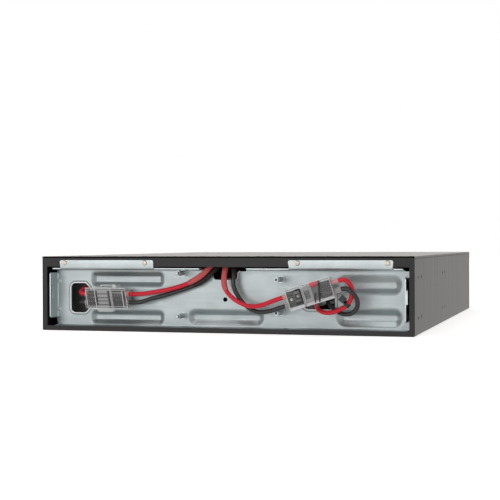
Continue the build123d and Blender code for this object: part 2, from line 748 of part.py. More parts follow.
loom_low = loom_z - loom_height / 2
loom_high = loom_z + loom_height / 2
loom = box(loom_x - loom_width / 2, loom_x + loom_width / 2, loom_start, loom_end, loom_low, loom_high)
parts["harness_loom"] = fillet(loom.edges().filter_by(Axis.Y), 3.5)
clips = []
for y in (110, 285, 460):
    clip = box(loom_x - 20, loom_x + 20, y - 6, y + 6, loom_low - 1.4, case_height - sheet)
    clips.append(clip - box(loom_x - 15, loom_x + 15, y - 7, y + 7, loom_low, case_height))
parts["loom_clips"] = group(*clips)

for name in lead_routes:
    parts[name] = tube(lead_path(route(name), name), lead_d, name)
for side in ("left", "right"):
    for colour in ("red", "black"):
        lead = f"{side}_harness_{colour}"
        parts[lead + "_sleeve"] = make_sleeve(lead + "_lead")
parts["cable_tie_strap"] = make_tie_strap()
parts["cable_tie_head"] = make_tie_head()

left_plane = plug_plane(left_axis, 0, 1)
right_plane = plug_plane(right_axis, right_tilt, -1)
for side, plane in (("left", left_plane), ("right", right_plane)):
    shell, core, pins, collars = make_socket_parts(side)
    parts[side + "_socket_shell"] = plane * shell
    parts[side + "_socket_core"] = plane * core
    parts[side + "_socket_pins"] = group(*[plane * pin for pin in pins])
    parts[side + "_socket_collars"] = group(*[plane * collar for collar in collars])
    shell, core, contacts, collars = make_plug_parts()
    if side == "left":
        for cheek in make_lever_cheeks():
            shell += cheek
    else:
        shell -= tongue_window()
        core -= tongue_pocket()
    parts[side + "_plug_shell"] = plane * shell
    parts[side + "_plug_core"] = plane * core
    parts[side + "_plug_contacts"] = group(*[plane * contact for contact in contacts])
    parts[side + "_plug_collars"] = group(*[plane * collar for collar in collars])
parts["left_plug_latch"] = left_plane * make_lever_latch()
parts["right_plug_latch"] = right_plane * make_tongue_latch()
parts["right_socket_lock"] = right_plane * make_lock()

for name, shape in parts.items():
    export_step(shape, f"parts/{name}.step")
print(len(parts), "parts written")
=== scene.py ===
import json
from math import atan2, cos, hypot, pi, radians, sin

import bmesh
import bpy
from mathutils import Matrix, Vector
from mathutils.geometry import delaunay_2d_cdt

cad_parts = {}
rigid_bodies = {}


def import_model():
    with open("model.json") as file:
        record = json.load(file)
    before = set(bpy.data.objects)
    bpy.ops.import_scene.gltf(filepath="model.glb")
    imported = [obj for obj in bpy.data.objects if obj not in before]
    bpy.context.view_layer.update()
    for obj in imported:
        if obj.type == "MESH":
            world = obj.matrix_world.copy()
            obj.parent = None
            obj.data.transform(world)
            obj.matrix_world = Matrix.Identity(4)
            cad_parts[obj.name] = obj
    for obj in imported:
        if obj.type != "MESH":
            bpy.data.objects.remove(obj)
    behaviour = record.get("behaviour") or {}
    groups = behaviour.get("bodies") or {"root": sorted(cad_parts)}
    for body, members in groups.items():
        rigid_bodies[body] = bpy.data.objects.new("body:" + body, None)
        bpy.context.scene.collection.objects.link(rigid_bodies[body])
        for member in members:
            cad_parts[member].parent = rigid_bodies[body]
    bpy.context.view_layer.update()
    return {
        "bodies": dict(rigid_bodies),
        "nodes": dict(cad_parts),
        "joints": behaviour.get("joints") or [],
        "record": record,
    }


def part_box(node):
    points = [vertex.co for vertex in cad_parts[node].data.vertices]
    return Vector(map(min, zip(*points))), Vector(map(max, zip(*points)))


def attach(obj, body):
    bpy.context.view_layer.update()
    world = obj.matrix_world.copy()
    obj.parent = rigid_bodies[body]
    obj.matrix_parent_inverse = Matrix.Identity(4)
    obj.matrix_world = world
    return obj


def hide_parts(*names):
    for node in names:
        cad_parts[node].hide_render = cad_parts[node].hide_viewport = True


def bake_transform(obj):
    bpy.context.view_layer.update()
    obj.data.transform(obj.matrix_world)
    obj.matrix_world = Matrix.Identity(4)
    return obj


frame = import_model()
nodes = frame["nodes"]

MM = 0.001
FRONT_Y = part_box("front_frame")[0].y
CENTRE_X = sum(corner.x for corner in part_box("front_frame")) / 2


def at(x, y, z):
    """A point in metres from millimetres: x from the middle, y behind the front plane, z up."""
    return Vector((CENTRE_X + x * MM, FRONT_Y + y * MM, z * MM))


def linked(name, data):
    """A new object in the scene."""
    made = bpy.data.objects.new(name, data)
    bpy.context.scene.collection.objects.link(made)
    return made


def raw_mesh(name, verts, faces):
    """A new mesh from points and faces."""
    mesh = bpy.data.meshes.new(name)
    mesh.from_pydata(verts, [], faces)
    return mesh


# ---- camera ----
CAMERA_PLACE = at(404.1, -1239.8, 101.5)
CAMERA_TURN = radians(16.555)
CAMERA_PITCH = radians(-0.354)
CAMERA_ROLL = radians(0.223)
CAMERA_LENS = 83.69


def make_camera():
    """A long lens in front of the case and to its right, a little above its lid."""
    data = bpy.data.cameras.new("camera")
    data.sensor_width = 36.0
    data.lens = CAMERA_LENS
    data.clip_start = 0.05
    data.clip_end = 60.0
    camera = linked("camera", data)
    turn = Matrix.Rotation(CAMERA_TURN, 4, "Z")
    tilt = Matrix.Rotation(pi / 2 + CAMERA_PITCH, 4, "X")
    roll = Matrix.Rotation(-CAMERA_ROLL, 4, "Z")
    camera.matrix_world = Matrix.Translation(CAMERA_PLACE) @ turn @ tilt @ roll
    bpy.context.scene.camera = camera


make_camera()


# ---- materials ----
def add_node(tree, kind, **inputs):
    """A new shader node with some of its inputs set; an underscore stands for a space."""
    node = tree.nodes.new(kind)
    for socket, value in inputs.items():
        node.inputs[socket.replace("_", " ")].default_value = value
    return node


def shaded(tone, share):
    """A tone darkened to a share of itself."""
    return tuple(channel * share for channel in tone)


class Shader:
    """A Principled material with a few procedural helpers."""

    def __init__(self, name, rough=0.5, metal=0.0, colour=(0.5, 0.5, 0.5), **sockets):
        self.material = bpy.data.materials.new(name)
        self.material.use_nodes = True
        self.tree = self.material.node_tree
        self.bsdf = self.tree.nodes["Principled BSDF"]
        self.coords = None
        self.bump_in = None
        self.set("Roughness", rough)
        self.set("Metallic", metal)
        self.set("Base Color", (*colour, 1.0))
        for socket, value in sockets.items():
            self.set(socket.replace("_", " "), value)

    def set(self, socket, value):
        self.bsdf.inputs[socket].default_value = value

    def link(self, output, socket):
        self.tree.links.new(output, socket)

    def drive(self, socket, output):
        self.link(output, self.bsdf.inputs[socket])

    def position(self, scale=(1, 1, 1)):
        """Coordinates on the object, stretched by a scale."""
        if self.coords is None:
            self.coords = self.tree.nodes.new("ShaderNodeTexCoord")
        mapping = add_node(self.tree, "ShaderNodeMapping", Scale=scale)
        self.link(self.coords.outputs["Object"], mapping.inputs["Vector"])
        return mapping.outputs["Vector"]

    def noise(self, scale, detail=3.0, stretch=(1, 1, 1)):
        node = add_node(self.tree, "ShaderNodeTexNoise", Scale=scale, Detail=detail)
        self.link(self.position(stretch), node.inputs["Vector"])
        return node.outputs["Fac"]

    def cells(self, scale):
        node = add_node(self.tree, "ShaderNodeTexVoronoi", Scale=scale)
        self.link(self.position(), node.inputs["Vector"])
        return node.outputs["Color"]

    def ramp(self, factor, low, high, at_low=0.0, at_high=1.0):
        node = add_node(self.tree, "ShaderNodeMapRange",
                        From_Min=low, From_Max=high, To_Min=at_low, To_Max=at_high)
        self.link(factor, node.inputs["Value"])
        return node.outputs["Result"]

    def mix(self, factor, first, second):
        node = self.tree.nodes.new("ShaderNodeMix")
        node.data_type = "RGBA"
        for socket, value in ((6, first), (7, second)):
            if isinstance(value, tuple):
                node.inputs[socket].default_value = (*value, 1.0)
            else:
                self.link(value, node.inputs[socket])
        self.link(factor, node.inputs[0])
        return node.outputs[2]

    def bump(self, height, strength, distance_mm):
        node = add_node(self.tree, "ShaderNodeBump", Strength=strength, Distance=distance_mm * MM)
        self.link(height, node.inputs["Height"])
        if self.bump_in is not None:
            self.link(self.bump_in, node.inputs["Normal"])
        self.bump_in = node.outputs["Normal"]
        self.drive("Normal", self.bump_in)


def powder_coat():
    """Semi-gloss black powder coat: fine orange peel, faint vertical rubbing marks, dust-grey drift."""
    coat = Shader("case_coat", rough=0.42, colour=(0.014, 0.0135, 0.015), Specular_IOR_Level=0.36)
    peel = coat.noise(1500, detail=2.0)
    streak = coat.noise(110, detail=5.0, stretch=(1, 1, 0.03))
    drift = coat.noise(9, detail=3.0)
    tone = coat.mix(coat.ramp(drift, 0.35, 0.65), (0.012, 0.0115, 0.013), (0.017, 0.016, 0.0175))
    coat.drive("Base Color", coat.mix(coat.ramp(streak, 0.45, 0.8, 0.0, 0.30), tone, (0.030, 0.026, 0.023)))
    coat.drive("Roughness", coat.ramp(streak, 0.3, 0.7, 0.37, 0.42))
    coat.bump(peel, 0.25, 0.05)
    return coat.material


def zinc_sheet(name, tone=(0.62, 0.69, 0.71), rough=(0.34, 0.46)):
    """Electro-galvanised sheet: cool satin metal with faint rolling lines and cloudy spangle."""
    zinc = Shader(name, metal=0.85, colour=tone)
    cloud = zinc.noise(55, detail=4.0)
    spangle = zinc.cells(420)
    rolling = zinc.noise(900, detail=3.0, stretch=(0.02, 1, 1))
    base = zinc.mix(zinc.ramp(cloud, 0.3, 0.7), shaded(tone, 0.86), tone)
    zinc.drive("Base Color", zinc.mix(zinc.ramp(spangle, 0.0, 1.0, 0.0, 0.18), base, shaded(tone, 0.8)))
    zinc.drive("Roughness", zinc.ramp(rolling, 0.3, 0.7, *rough))
    zinc.bump(rolling, 0.10, 0.02)
    zinc.bump(cloud, 0.10, 0.25)
    return zinc.material


def bright_steel(name, tone, rough=0.3, stained=0.85):
    """Turned or rolled plated steel with fine machining marks."""
    steel = Shader(name, metal=1.0, colour=tone)
    marks = steel.noise(2600, detail=2.0, stretch=(1, 0.2, 1))
    stain = steel.noise(300, detail=3.0)
    steel.drive("Base Color", steel.mix(steel.ramp(stain, 0.35, 0.7), tone, shaded(tone, stained)))
    steel.drive("Roughness", steel.ramp(marks, 0.3, 0.7, rough - 0.06, rough + 0.10))
    steel.bump(marks, 0.08, 0.01)
    return steel.material


def moulded(name, tone, rough=0.45, depth=0.02, **sockets):
    """Moulded plastic with a fine grain and small drift of tone."""
    plastic = Shader(name, rough=rough, colour=tone, **sockets)
    fine = plastic.noise(1400, detail=2.0)
    drift = plastic.noise(60, detail=2.0)
    plastic.drive("Base Color", plastic.mix(plastic.ramp(drift, 0.3, 0.7), tone, shaded(tone, 0.82)))
    plastic.drive("Roughness", plastic.ramp(fine, 0.3, 0.7, rough - 0.05, rough + 0.06))
    plastic.bump(fine, 0.2, depth)
    return plastic.material


def clear_plastic(name, tone=(0.85, 0.84, 0.84), face=0.07, edge=0.55):
    """Clear moulded plastic: nearly invisible face on, brighter seen edge on, with faint flow marks."""
    rough = 0.10
    clear = Shader(name, rough=rough, colour=tone, IOR=1.55, Alpha=face)
    grazing = add_node(clear.tree, "ShaderNodeLayerWeight", Blend=0.45)
    flow = clear.noise(160, detail=3.0, stretch=(1, 1, 2.5))
    clear.drive("Roughness", clear.ramp(flow, 0.3, 0.7, rough - 0.04, rough + 0.10))
    clear.drive("Alpha", clear.ramp(grazing.outputs["Facing"], 0.25, 1.0, face, edge))
    clear.bump(flow, 0.15, 0.15)
    return clear.material


def insulation(name, tone, rough=0.32, gloss=0.3):
    """Soft wire insulation: satin, slightly waxy, with faint rub marks."""
    skin = Shader(name, rough=rough, colour=tone, Specular_IOR_Level=gloss)
    rub = skin.noise(420, detail=3.0)
    fine = skin.noise(2600, detail=2.0)
    skin.drive("Base Color", skin.mix(skin.ramp(rub, 0.4, 0.75), tone, shaded(tone, 0.78)))
    skin.drive("Roughness", skin.ramp(rub, 0.3, 0.7, rough - 0.06, rough + 0.12))
    skin.bump(fine, 0.15, 0.02)
    return skin.material


def braid(name):
    """Braided polyester sleeve: crossed diagonal threads."""
    cloth = Shader(name, rough=0.7, colour=(0.03, 0.03, 0.032), Sheen_Weight=0.3)
    over = cloth.tree.nodes.new("ShaderNodeMath")
    over.operation = "MAXIMUM"
    for index, lean in enumerate((1, -1)):
        wave = add_node(cloth.tree, "ShaderNodeTexWave", Scale=260, Distortion=0.4)
        turned = add_node(cloth.tree, "ShaderNodeMapping", Rotation=(0, 0, radians(45 * lean)))
        cloth.link(cloth.position(), turned.inputs["Vector"])
        cloth.link(turned.outputs["Vector"], wave.inputs["Vector"])
        cloth.link(wave.outputs["Fac"], over.inputs[index])
    cloth.drive("Base Color", cloth.mix(over.outputs[0], (0.012, 0.012, 0.013), (0.05, 0.05, 0.052)))
    cloth.bump(over.outputs[0], 0.6, 0.25)
    return cloth.material


def foam(name):
    """Soft grey foam with open pores."""
    cell = Shader(name, rough=0.9, colour=(0.05, 0.05, 0.055))
    pores = cell.noise(1800, detail=2.0)
    cell.drive("Base Color", cell.mix(cell.ramp(pores, 0.4, 0.6), (0.02, 0.02, 0.022), (0.075, 0.075, 0.08)))
    cell.bump(pores, 0.8, 0.4)
    return cell.material


SLOT_MATERIALS = {
    "case_black": powder_coat(),
    "zinc_plate": zinc_sheet("plate_zinc"),
    "zinc_steel": zinc_sheet("inner_zinc", (0.50, 0.52, 0.52), (0.38, 0.52)),
    "screw_steel": bright_steel("screw_passivated", (0.80, 0.74, 0.64), 0.36, 0.92),
    "standoff_steel": bright_steel("standoff_plated", (0.54, 0.59, 0.61), 0.36, 0.92),
    "trim_white": zinc_sheet("trim_bright", (0.80, 0.85, 0.86), (0.30, 0.42)),
    "battery_case": moulded("block_case", (0.010, 0.010, 0.011), 0.55, Specular_IOR_Level=0.15),
    "tinned_brass": bright_steel("tinned_brass_metal", (0.75, 0.68, 0.50), 0.25),
    "fuse_black": moulded("fuse_moulding", (0.03, 0.03, 0.032)),
    "foam_grey": foam("pack_foam"),
    "fitting_black": moulded("fitting_moulding", (0.028, 0.028, 0.03), 0.35),
    "toggle_black": moulded("toggle_moulding", (0.015, 0.015, 0.016), 0.25),
    "loom_braid": braid("loom_cover"),
    "clip_nylon": moulded("clip_moulding", (0.55, 0.54, 0.50), 0.45),
    "shrink_black": insulation("shrink_tube", (0.022, 0.020, 0.020), 0.5),
    "tie_nylon": moulded("tie_moulding", (0.022, 0.022, 0.024), 0.4),
    "lock_red": moulded("lock_moulding", (0.78, 0.035, 0.07), 0.22),
    "lead_red": insulation("red_insulation", (0.66, 0.014, 0.036), 0.28),
    "lead_black": insulation("black_insulation", (0.022, 0.021, 0.023), 0.30, 0.55),
    "clear_shell": clear_plastic("clear_moulding"),
    "shrink_red": insulation("red_shrink_tube", (0.58, 0.095, 0.10), 0.55),
    "core_grey": moulded("core_moulding", (0.034, 0.033, 0.037), 0.34, depth=0.05),
    "collar_clear": clear_plastic("collar_moulding", (0.95, 0.91, 0.91), 0.34, 0.8),
}
node_slots = {entry["node"]: entry["material_slot"] for entry in frame["record"]["subparts"]}


def repaint(mesh, look):
    """Makes a look the only material of a mesh."""
    mesh.materials.clear()
    mesh.materials.append(look)


def dress_cad_nodes():
    """Gives every CAD node the material of its slot."""
    for name, node in nodes.items():
        repaint(node.data, SLOT_MATERIALS[node_slots[name]])
        node.data.set_sharp_from_angle(angle=radians(28))


dress_cad_nodes()


# ---- mesh helpers ----
def new_object(name, mesh, slot, body="root", smooth=32):
    """Links a mesh as a piece with its slot's material; it rides on a body."""
    piece = linked(name, mesh)
    mesh.materials.append(SLOT_MATERIALS[slot])
    mesh.shade_smooth()
    mesh.set_sharp_from_angle(angle=radians(smooth))
    if body:
        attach(piece, body)
    return piece


def closed_mesh(name, verts, faces):
    """A mesh whose faces are all turned outwards."""
    mesh = raw_mesh(name, verts, faces)
    bm = bmesh.new()
    bm.from_mesh(mesh)
    bmesh.ops.recalc_face_normals(bm, faces=bm.faces)
    bm.to_mesh(mesh)
    bm.free()
    return mesh


def apply_modifiers(piece):
    """Bakes the modifiers of a piece into its own mesh."""
    bpy.context.view_layer.update()
    graph = bpy.context.evaluated_depsgraph_get()
    baked = bpy.data.meshes.new_from_object(piece.evaluated_get(graph))
    piece.modifiers.clear()
    piece.data = baked


def bevel(piece, width_mm):
    """Rounds the edges of a piece."""
    modifier = piece.modifiers.new("edges", "BEVEL")
    modifier.width = width_mm * MM
    modifier.segments = 2
    modifier.limit_method = "ANGLE"
    modifier.angle_limit = radians(30)
    apply_modifiers(piece)


def fillet(before, corner, after, radius):
    """The arc that rounds a corner: its centre, first point, last point and sweep."""
    back = (before - corner).normalized()
    ahead = (after - corner).normalized()
    half = back.angle(ahead) / 2
    reach = radius / (sin(half) / cos(half))
    centre = corner + (back + ahead).normalized() * (radius / sin(half))
    first, last = corner + back * reach, corner + ahead * reach
    a, b = first - centre, last - centre
    return centre, first, last, atan2(a.x * b.y - a.y * b.x, a.dot(b))


def rounded_outline(corners, steps=6):
    """Closed outline from (x, y, radius) corners, each rounded with an arc."""
    outline = []
    count = len(corners)
    for index, (x, y, radius) in enumerate(corners):
        corner = Vector((x, y))
        if radius <= 0:
            outline.append(corner)
            continue
        before, after = Vector(corners[index - 1][:2]), Vector(corners[(index + 1) % count][:2])
        centre, first, _, sweep = fillet(before, corner, after, radius)
        for step in range(steps + 1):
            turned = first - centre
            turned.rotate(Matrix.Rotation(sweep * step / steps, 2))
            outline.append(centre + turned)
    return outline


def rounded_box_outline(x0, x1, y0, y1, radius, steps=6):
    """A rectangle with rounded corners."""
    corners = ((x0, y0, radius), (x1, y0, radius), (x1, y1, radius), (x0, y1, radius))
    return rounded_outline(corners, steps)


def cutout_outline(cutout, sloped, web_height):
    """A cut-out's outline on the flat sheet; the corners on its right side may be cut at 45 degrees."""
    x0, x1, z0, z1 = cutout
    low, high = web_height(z0), web_height(z1)
    if not sloped:
        return rounded_box_outline(x0, x1, low, high, CUTOUT_R, 8)
    cut = SLOPED_CORNER
    return rounded_outline(((x0, low, CUTOUT_R), (x1 - cut, low, 2.5), (x1, low + cut, 2.5),
                            (x1, high - cut, 2.5), (x1 - cut, high, 2.5), (x0, high, CUTOUT_R)), 8)


def inside(point, outline):
    """Whether a 2-D point lies within a closed outline."""
    hit = False
    previous = outline[-1]
    for current in outline:
        if (current.y > point.y) != (previous.y > point.y):
            cross = (previous.x - current.x) * (point.y - current.y) / (previous.y - current.y) + current.x
            if point.x < cross:
                hit = not hit
        previous = current
    return hit


def sheet_mesh(name, outline, holes, grid, place, thickness_mm):
    """A sheet cut to a flat outline with holes, bent into shape by place(u, v), and given its thickness."""
    verts = []
    edges = []
    for loop in [outline] + holes:
        start = len(verts)
        verts += [Vector(p) for p in loop]
        edges += [(start + i, start + (i + 1) % len(loop)) for i in range(len(loop))]
    verts += [p for p in grid if inside(p, outline) and not any(inside(p, hole) for hole in holes)]
    points, _, faces, *_ = delaunay_2d_cdt(verts, edges, [], 1, 1e-5)
    kept = []
    for face in faces:
        middle = sum((points[i] for i in face), Vector((0, 0))) / len(face)
        if inside(middle, outline) and not any(inside(middle, hole) for hole in holes):
            kept.append(face)
    mesh = raw_mesh(name, [place(p.x, p.y) for p in points], kept)
    mesh.validate()
    carrier = linked(name + "_sheet", mesh)
    solid = carrier.modifiers.new("thickness", "SOLIDIFY")
    solid.thickness = thickness_mm * MM
    solid.offset = 0.0
    apply_modifiers(carrier)
    solid_mesh = carrier.data
    bpy.data.objects.remove(carrier)
    return solid_mesh


class FoldedPath:
    """A line of straight runs joined by bend arcs, read by the length along it."""

    def __init__(self, corners, radii):
        self.parts = []
        self.arc_spans = []
        self.length = 0.0
        points = [Vector(p) for p in corners]
        start = points[0]
        for index, radius in enumerate(radii):
            centre, first, last, sweep = fillet(*points[index:index + 3], radius)
            self.add_run(start, first)
            self.add_arc(centre, first - centre, sweep, radius)
            start = last
        self.add_run(start, points[-1])

    def add_run(self, start, end):
        size = (end - start).length
        self.parts.append(("run", self.length, size, start, (end - start) / size))
        self.length += size

    def add_arc(self, centre, arm, sweep, radius):
        size = abs(sweep) * radius
        self.parts.append(("arc", self.length, size, centre, (arm, sweep)))
        self.arc_spans.append((self.length, self.length + size))
        self.length += size

    def at(self, distance):
        """The point at a distance along the line; the last part runs on past its end."""
        for part in self.parts:
            kind, start, size, origin, data = part
            if distance <= start + size + 1e-9 or part is self.parts[-1]:
                break
        if kind == "run":
            return origin + data * (distance - start)
        arm, sweep = data
        turned = arm.copy()
        turned.rotate(Matrix.Rotation(sweep * (distance - start) / size, 2))
        return origin + turned


# ---- retainer plate ----
SHEET = 1.2
WEB_Y = 20.0
WEB_MID = WEB_Y + SHEET / 2
BEAD_DEPTH = 4.0
# depth behind the front beyond which the web is given painted shade
WEB_SHADE_Y = 12.0
WEB_HOLE_R = 2.6
WEB_HOLE_Z = 37
GRID_STEP_V = 1.15
BEADS = (
    # left, right, bottom, top, corner radius, slope
    (-166.6, -73.4, 49.8, 69.4, 7.0, 6.8),
    (-166.6, -73.4, 6.0, 24.4, 7.0, 6.8),
    (-45.3, 46.8, 7.0, 26.0, 9.0, 7.0),
    (130.0, 203.8, 42.4, 66.0, 11.0, 9.2),
    (128.0, 204.4, 7.0, 29.6, 11.0, 8.8),
)
GUSSETS = ((-209.0, 57.2), (-209.0, 24.2))
LEFT_CUTOUT = (-191.0, -167.0, 20.3, 54.6)
RIGHT_CUTOUT = (92.3, 127.5, 27.3, 51.3)
CUTOUTS = ((LEFT_CUTOUT, True), (RIGHT_CUTOUT, False))
CUTOUT_R = 5.0
SLOPED_CORNER = 6.0
NOTCH = (-14.0, 14.4, 59.5)
EAR_SPANS = ((-196.0, -79.5), (79.5, 196.0))


def ramp_profile(t, blend=0.24):
    """A slope from 0 to 1 whose foot and shoulder are rounded."""
    t = min(max(t, 0.0), 1.0)
    rise = 1.0 / (1.0 - blend)
    if t < blend:
        return rise * t * t / (2 * blend)
    if t > 1 - blend:
        return 1 - rise * (1 - t) ** 2 / (2 * blend)
    return rise * (t - blend / 2)


def bead_depth(x, z):
    """How far the pressed beads push the web back at a place on it."""
    depth = 0.0
    for left, right, bottom, top, radius, slope in BEADS:
        half_x, half_z = (right - left) / 2, (top - bottom) / 2
        dx = abs(x - (left + right) / 2) - (half_x - radius)
        dz = abs(z - (bottom + top) / 2) - (half_z - radius)
        outside = hypot(max(dx, 0), max(dz, 0)) + min(max(dx, dz), 0) - radius
        depth += BEAD_DEPTH * ramp_profile(-outside / slope)
    for gx, gz in GUSSETS:
        reach = hypot((x - gx) / 5.0, (z - gz) / 3.4)
        depth -= 0.9 * ramp_profile(1 - reach)
    return depth


plate_path = FoldedPath(
    ((3.0, 4.2), (WEB_MID, 4.2), (WEB_MID, 72.3), (-0.6, 72.3), (-0.6, 82.1)), (2.2, 2.6, 1.6))
web_v0 = plate_path.arc_spans[0][1]
web_v1 = plate_path.arc_spans[1][0]
flange_v0 = plate_path.arc_spans[1][1]
ear_v0 = plate_path.arc_spans[2][0]
WEB_Z0 = plate_path.at(web_v0).y


def web_v(z):
    """Distance along the plate's folded line at a height on its web."""
    return web_v0 + z - WEB_Z0


def place_plate(u, v):
    """Where a place on the flat sheet comes to lie once it is folded and pressed."""
    spot = plate_path.at(v)
    push = bead_depth(u, spot.y) if web_v0 < v < web_v1 else 0.0
    return at(u, spot.x + push, spot.y)


def make_retainer_plate():
    """Foot, web with beads and openings, top flange and the two screwed ears, in one sheet."""
    flange_front = ear_v0 - 0.4
    top = plate_path.length
    ears = [((x1, flange_front, 0), (x1, top, 2.2), (x0, top, 2.2), (x0, flange_front, 0))
            for x0, x1 in EAR_SPANS]
    cut_left, cut_right = -21.0, 26.0
    notch_left, notch_right, notch_z = NOTCH
    notch_top = web_v1 - 0.6
    corners = [
        (-207.6, 0, 1.5), (209.6, 0, 1.5), (209.6, web_v(5.6), 0), (212, web_v(7.4), 1),
        (212, web_v(13.5), 1.5), (208, web_v(16.5), 0), (208, web_v(61.5), 0), (212, web_v(64.5), 1.5),
        (212, web_v1, 1), (206.6, web_v1, 0), (206.6, flange_front, 1.5),
        *ears[1], (cut_right + 4, flange_front, 1.5), (cut_right, flange_v0, 2.0),
        (cut_right - 1, notch_top, 1.5), (notch_right, notch_top, 1.5), (notch_right, web_v(notch_z), 3.2),
        (notch_left, web_v(notch_z), 3.2), (notch_left, notch_top, 1.5), (cut_left + 1, notch_top, 1.5),
        (cut_left, flange_v0, 2.0), (cut_left - 4, flange_front, 1.5), *ears[0],
        (-207.5, flange_front, 1.5), (-207.5, web_v1 + 0.2, 0), (-209.5, web_v1 + 0.2, 1.5),
        (-209.5, web_v(6.8), 1), (-207.6, web_v(6.8), 0)]
    outline = rounded_outline(corners)
    holes = [cutout_outline(cutout, sloped, web_v) for cutout, sloped in CUTOUTS]
    turns = [a * pi / 12 for a in range(24)]
    holes.append([Vector((WEB_HOLE_R * cos(a), web_v(WEB_HOLE_Z) + WEB_HOLE_R * sin(a))) for a in turns])
    rows = []
    v = web_v0 + 0.6
    while v < web_v1:
        rows.append((v, 1.5))
        v += GRID_STEP_V
    for low, high in plate_path.arc_spans:
        rows += [(low + (high - low) * i / 6, 3.0) for i in range(7)]
    grid = []
    for index, (v, step) in enumerate(rows):
        shift = 0.5 * step * (index % 2)
        count = int(424 / step)
        grid += [Vector((-211.6 + shift + i * step, v)) for i in range(count)]
    mesh = sheet_mesh("retainer_sheet", outline, holes, grid, place_plate, SHEET)
    piece = new_object("retainer_sheet", mesh, "zinc_plate")
    # painted shade: web faces behind WEB_SHADE_Y take a darker copy of the zinc, standing in for the shade
    # of the recess
    mesh.materials.append(zinc_sheet("web_zinc_painted_shade", (0.455, 0.508, 0.525)))
    painted_shade_front = FRONT_Y + WEB_SHADE_Y * MM
    for polygon in mesh.polygons:
        polygon.material_index = 1 if polygon.center.y > painted_shade_front else 0
    return piece


def side_flange(name, path, low_z, high_z, corner_r, columns, rows, slots=()):
    """A strip folded along a path, seen from above; rows are the heights that its bend is divided at."""
    end = path.length
    corners = ((0, low_z, 0), (end, low_z, corner_r), (end, high_z, corner_r), (0, high_z, 0))
    low, high = path.arc_spans[0]
    grid = [Vector((low + (high - low) * i / columns, z)) for i in range(columns + 1) for z in rows]

    def place(u, v):
        spot = path.at(u)
        return at(spot.x, spot.y, v)

    mesh = sheet_mesh(name, rounded_outline(corners), list(slots), grid, place, SHEET)
    new_object(name, mesh, "zinc_plate")


def make_side_flanges():
    """The turned-forward side edges; the left one has a slot, the right one a locating tab."""
    path = FoldedPath(((-206.6, WEB_MID), (-210.1, WEB_MID), (-210.1, 2.0)), (2.0,))
    slot = rounded_box_outline(path.length - 5.6, path.length - 2.2, 35.0, 53.8, 0.8)
    side_flange("left_side_flange", path, 14.5, 67.5, 2, 5, [15 + 3 * j for j in range(18)], [slot])
    path = FoldedPath(((205.4, WEB_MID), (208.6, WEB_MID), (208.6, 2.0)), (2.0,))
    side_flange("right_side_flange", path, 15, 63, 2, 5, [15.5 + 3 * j for j in range(16)])
    path = FoldedPath(((208.6, 9.0), (208.6, 2.6), (211.0, 2.6)), (1.2,))
    side_flange("right_flange_tab", path, 34, 49.8, 1, 4, [35 + 2.4 * j for j in range(6)])


plate = make_retainer_plate()
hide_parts("retainer_plate")
make_side_flanges()


# ---- rolled edges round the openings ----
# profiles of (distance outwards from the edge, depth behind the web's face)
ROLLED_EDGE = ((-0.1, 1.1), (-0.1, -0.35), (0.3, -0.75), (1.0, -0.9), (1.7, -0.75), (2.15, -0.35),
               (2.3, 0.3), (1.6, 0.5))
NOTCH_EDGE = ((-0.1, 1.1), (-0.1, -0.3), (0.25, -0.6), (0.7, -0.7), (1.2, -0.5), (1.5, 0.3), (1.0, 0.5))
EDGE_SHADOW = ((2.4, 0.4), (2.4, -0.12), (2.9, -0.12), (2.9, 0.4))
# a dark strip of painted shade along the lid's front edge: half its length, its height and its profile
LID_SHADE_X = 218.7
LID_SHADE_Z = 86.4
LID_SHADE = ((-0.05, -20.3), (1.7, -20.3), (1.7, -19.6), (-0.05, -19.6))


def edge_strip(name, path, profile, closed, slot, look=None):
    """Sweeps a profile along an edge."""
    count = len(path)
    verts, faces = [], []
    for index, spot in enumerate(path):
        before = spot - path[index - 1] if closed or index else path[1] - path[0]
        after = path[(index + 1) % count] - spot if closed or index < count - 1 else before
        before, after = before.normalized(), after.normalized()
        way = (before + after).normalized()
        out = Vector((way.y, -way.x)) / max(way.dot(before), 0.5)
        for reach, depth in profile:
            place = spot + out * reach
            verts.append(at(place.x, WEB_Y + depth, place.y))
    size = len(profile)
    for index in range(count if closed else count - 1):
        for step in range(size):
            a = index * size + step
            b = index * size + (step + 1) % size
            c = ((index + 1) % count) * size
            faces.append((a, b, c + (step + 1) % size, c + step))
    if not closed:
        faces.append(tuple(reversed(range(size))))
        faces.append(tuple(range((count - 1) * size, count * size)))
    mesh = closed_mesh(name, verts, faces)
    piece = new_object(name, mesh, slot, smooth=50)
    if look:
        repaint(mesh, look)
    return piece


def make_rolled_edges():
    """Bright rolled edges round the two cut-outs, each ringed by a thin dark strip of painted shadow, and
    along the cable notch.
    """
    shade = Shader("edge_shadow", rough=0.7, colour=(0.15, 0.165, 0.17)).material
    for name, (cutout, sloped) in zip(("left", "right"), CUTOUTS):
        path = cutout_outline(cutout, sloped, lambda z: z)
        ring = edge_strip(name + "_rolled_edge", path, ROLLED_EDGE, True, "trim_white")
        # a thin dark strip of painted shadow just outside each rolled edge
        edge_strip(name + "_edge_painted_shadow", path, EDGE_SHADOW, True, "trim_white", shade)
        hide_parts("cutout_trims")
    left, right, low = NOTCH
    corners = ((left + 6, low, 0), (right, low, 3.6), (right, 67.4, 3.0), (right + 2.6, 70.4, 0))
    path = rounded_outline(corners, 8)
    edge_strip("notch_rolled_edge", path, NOTCH_EDGE, False, "trim_white")


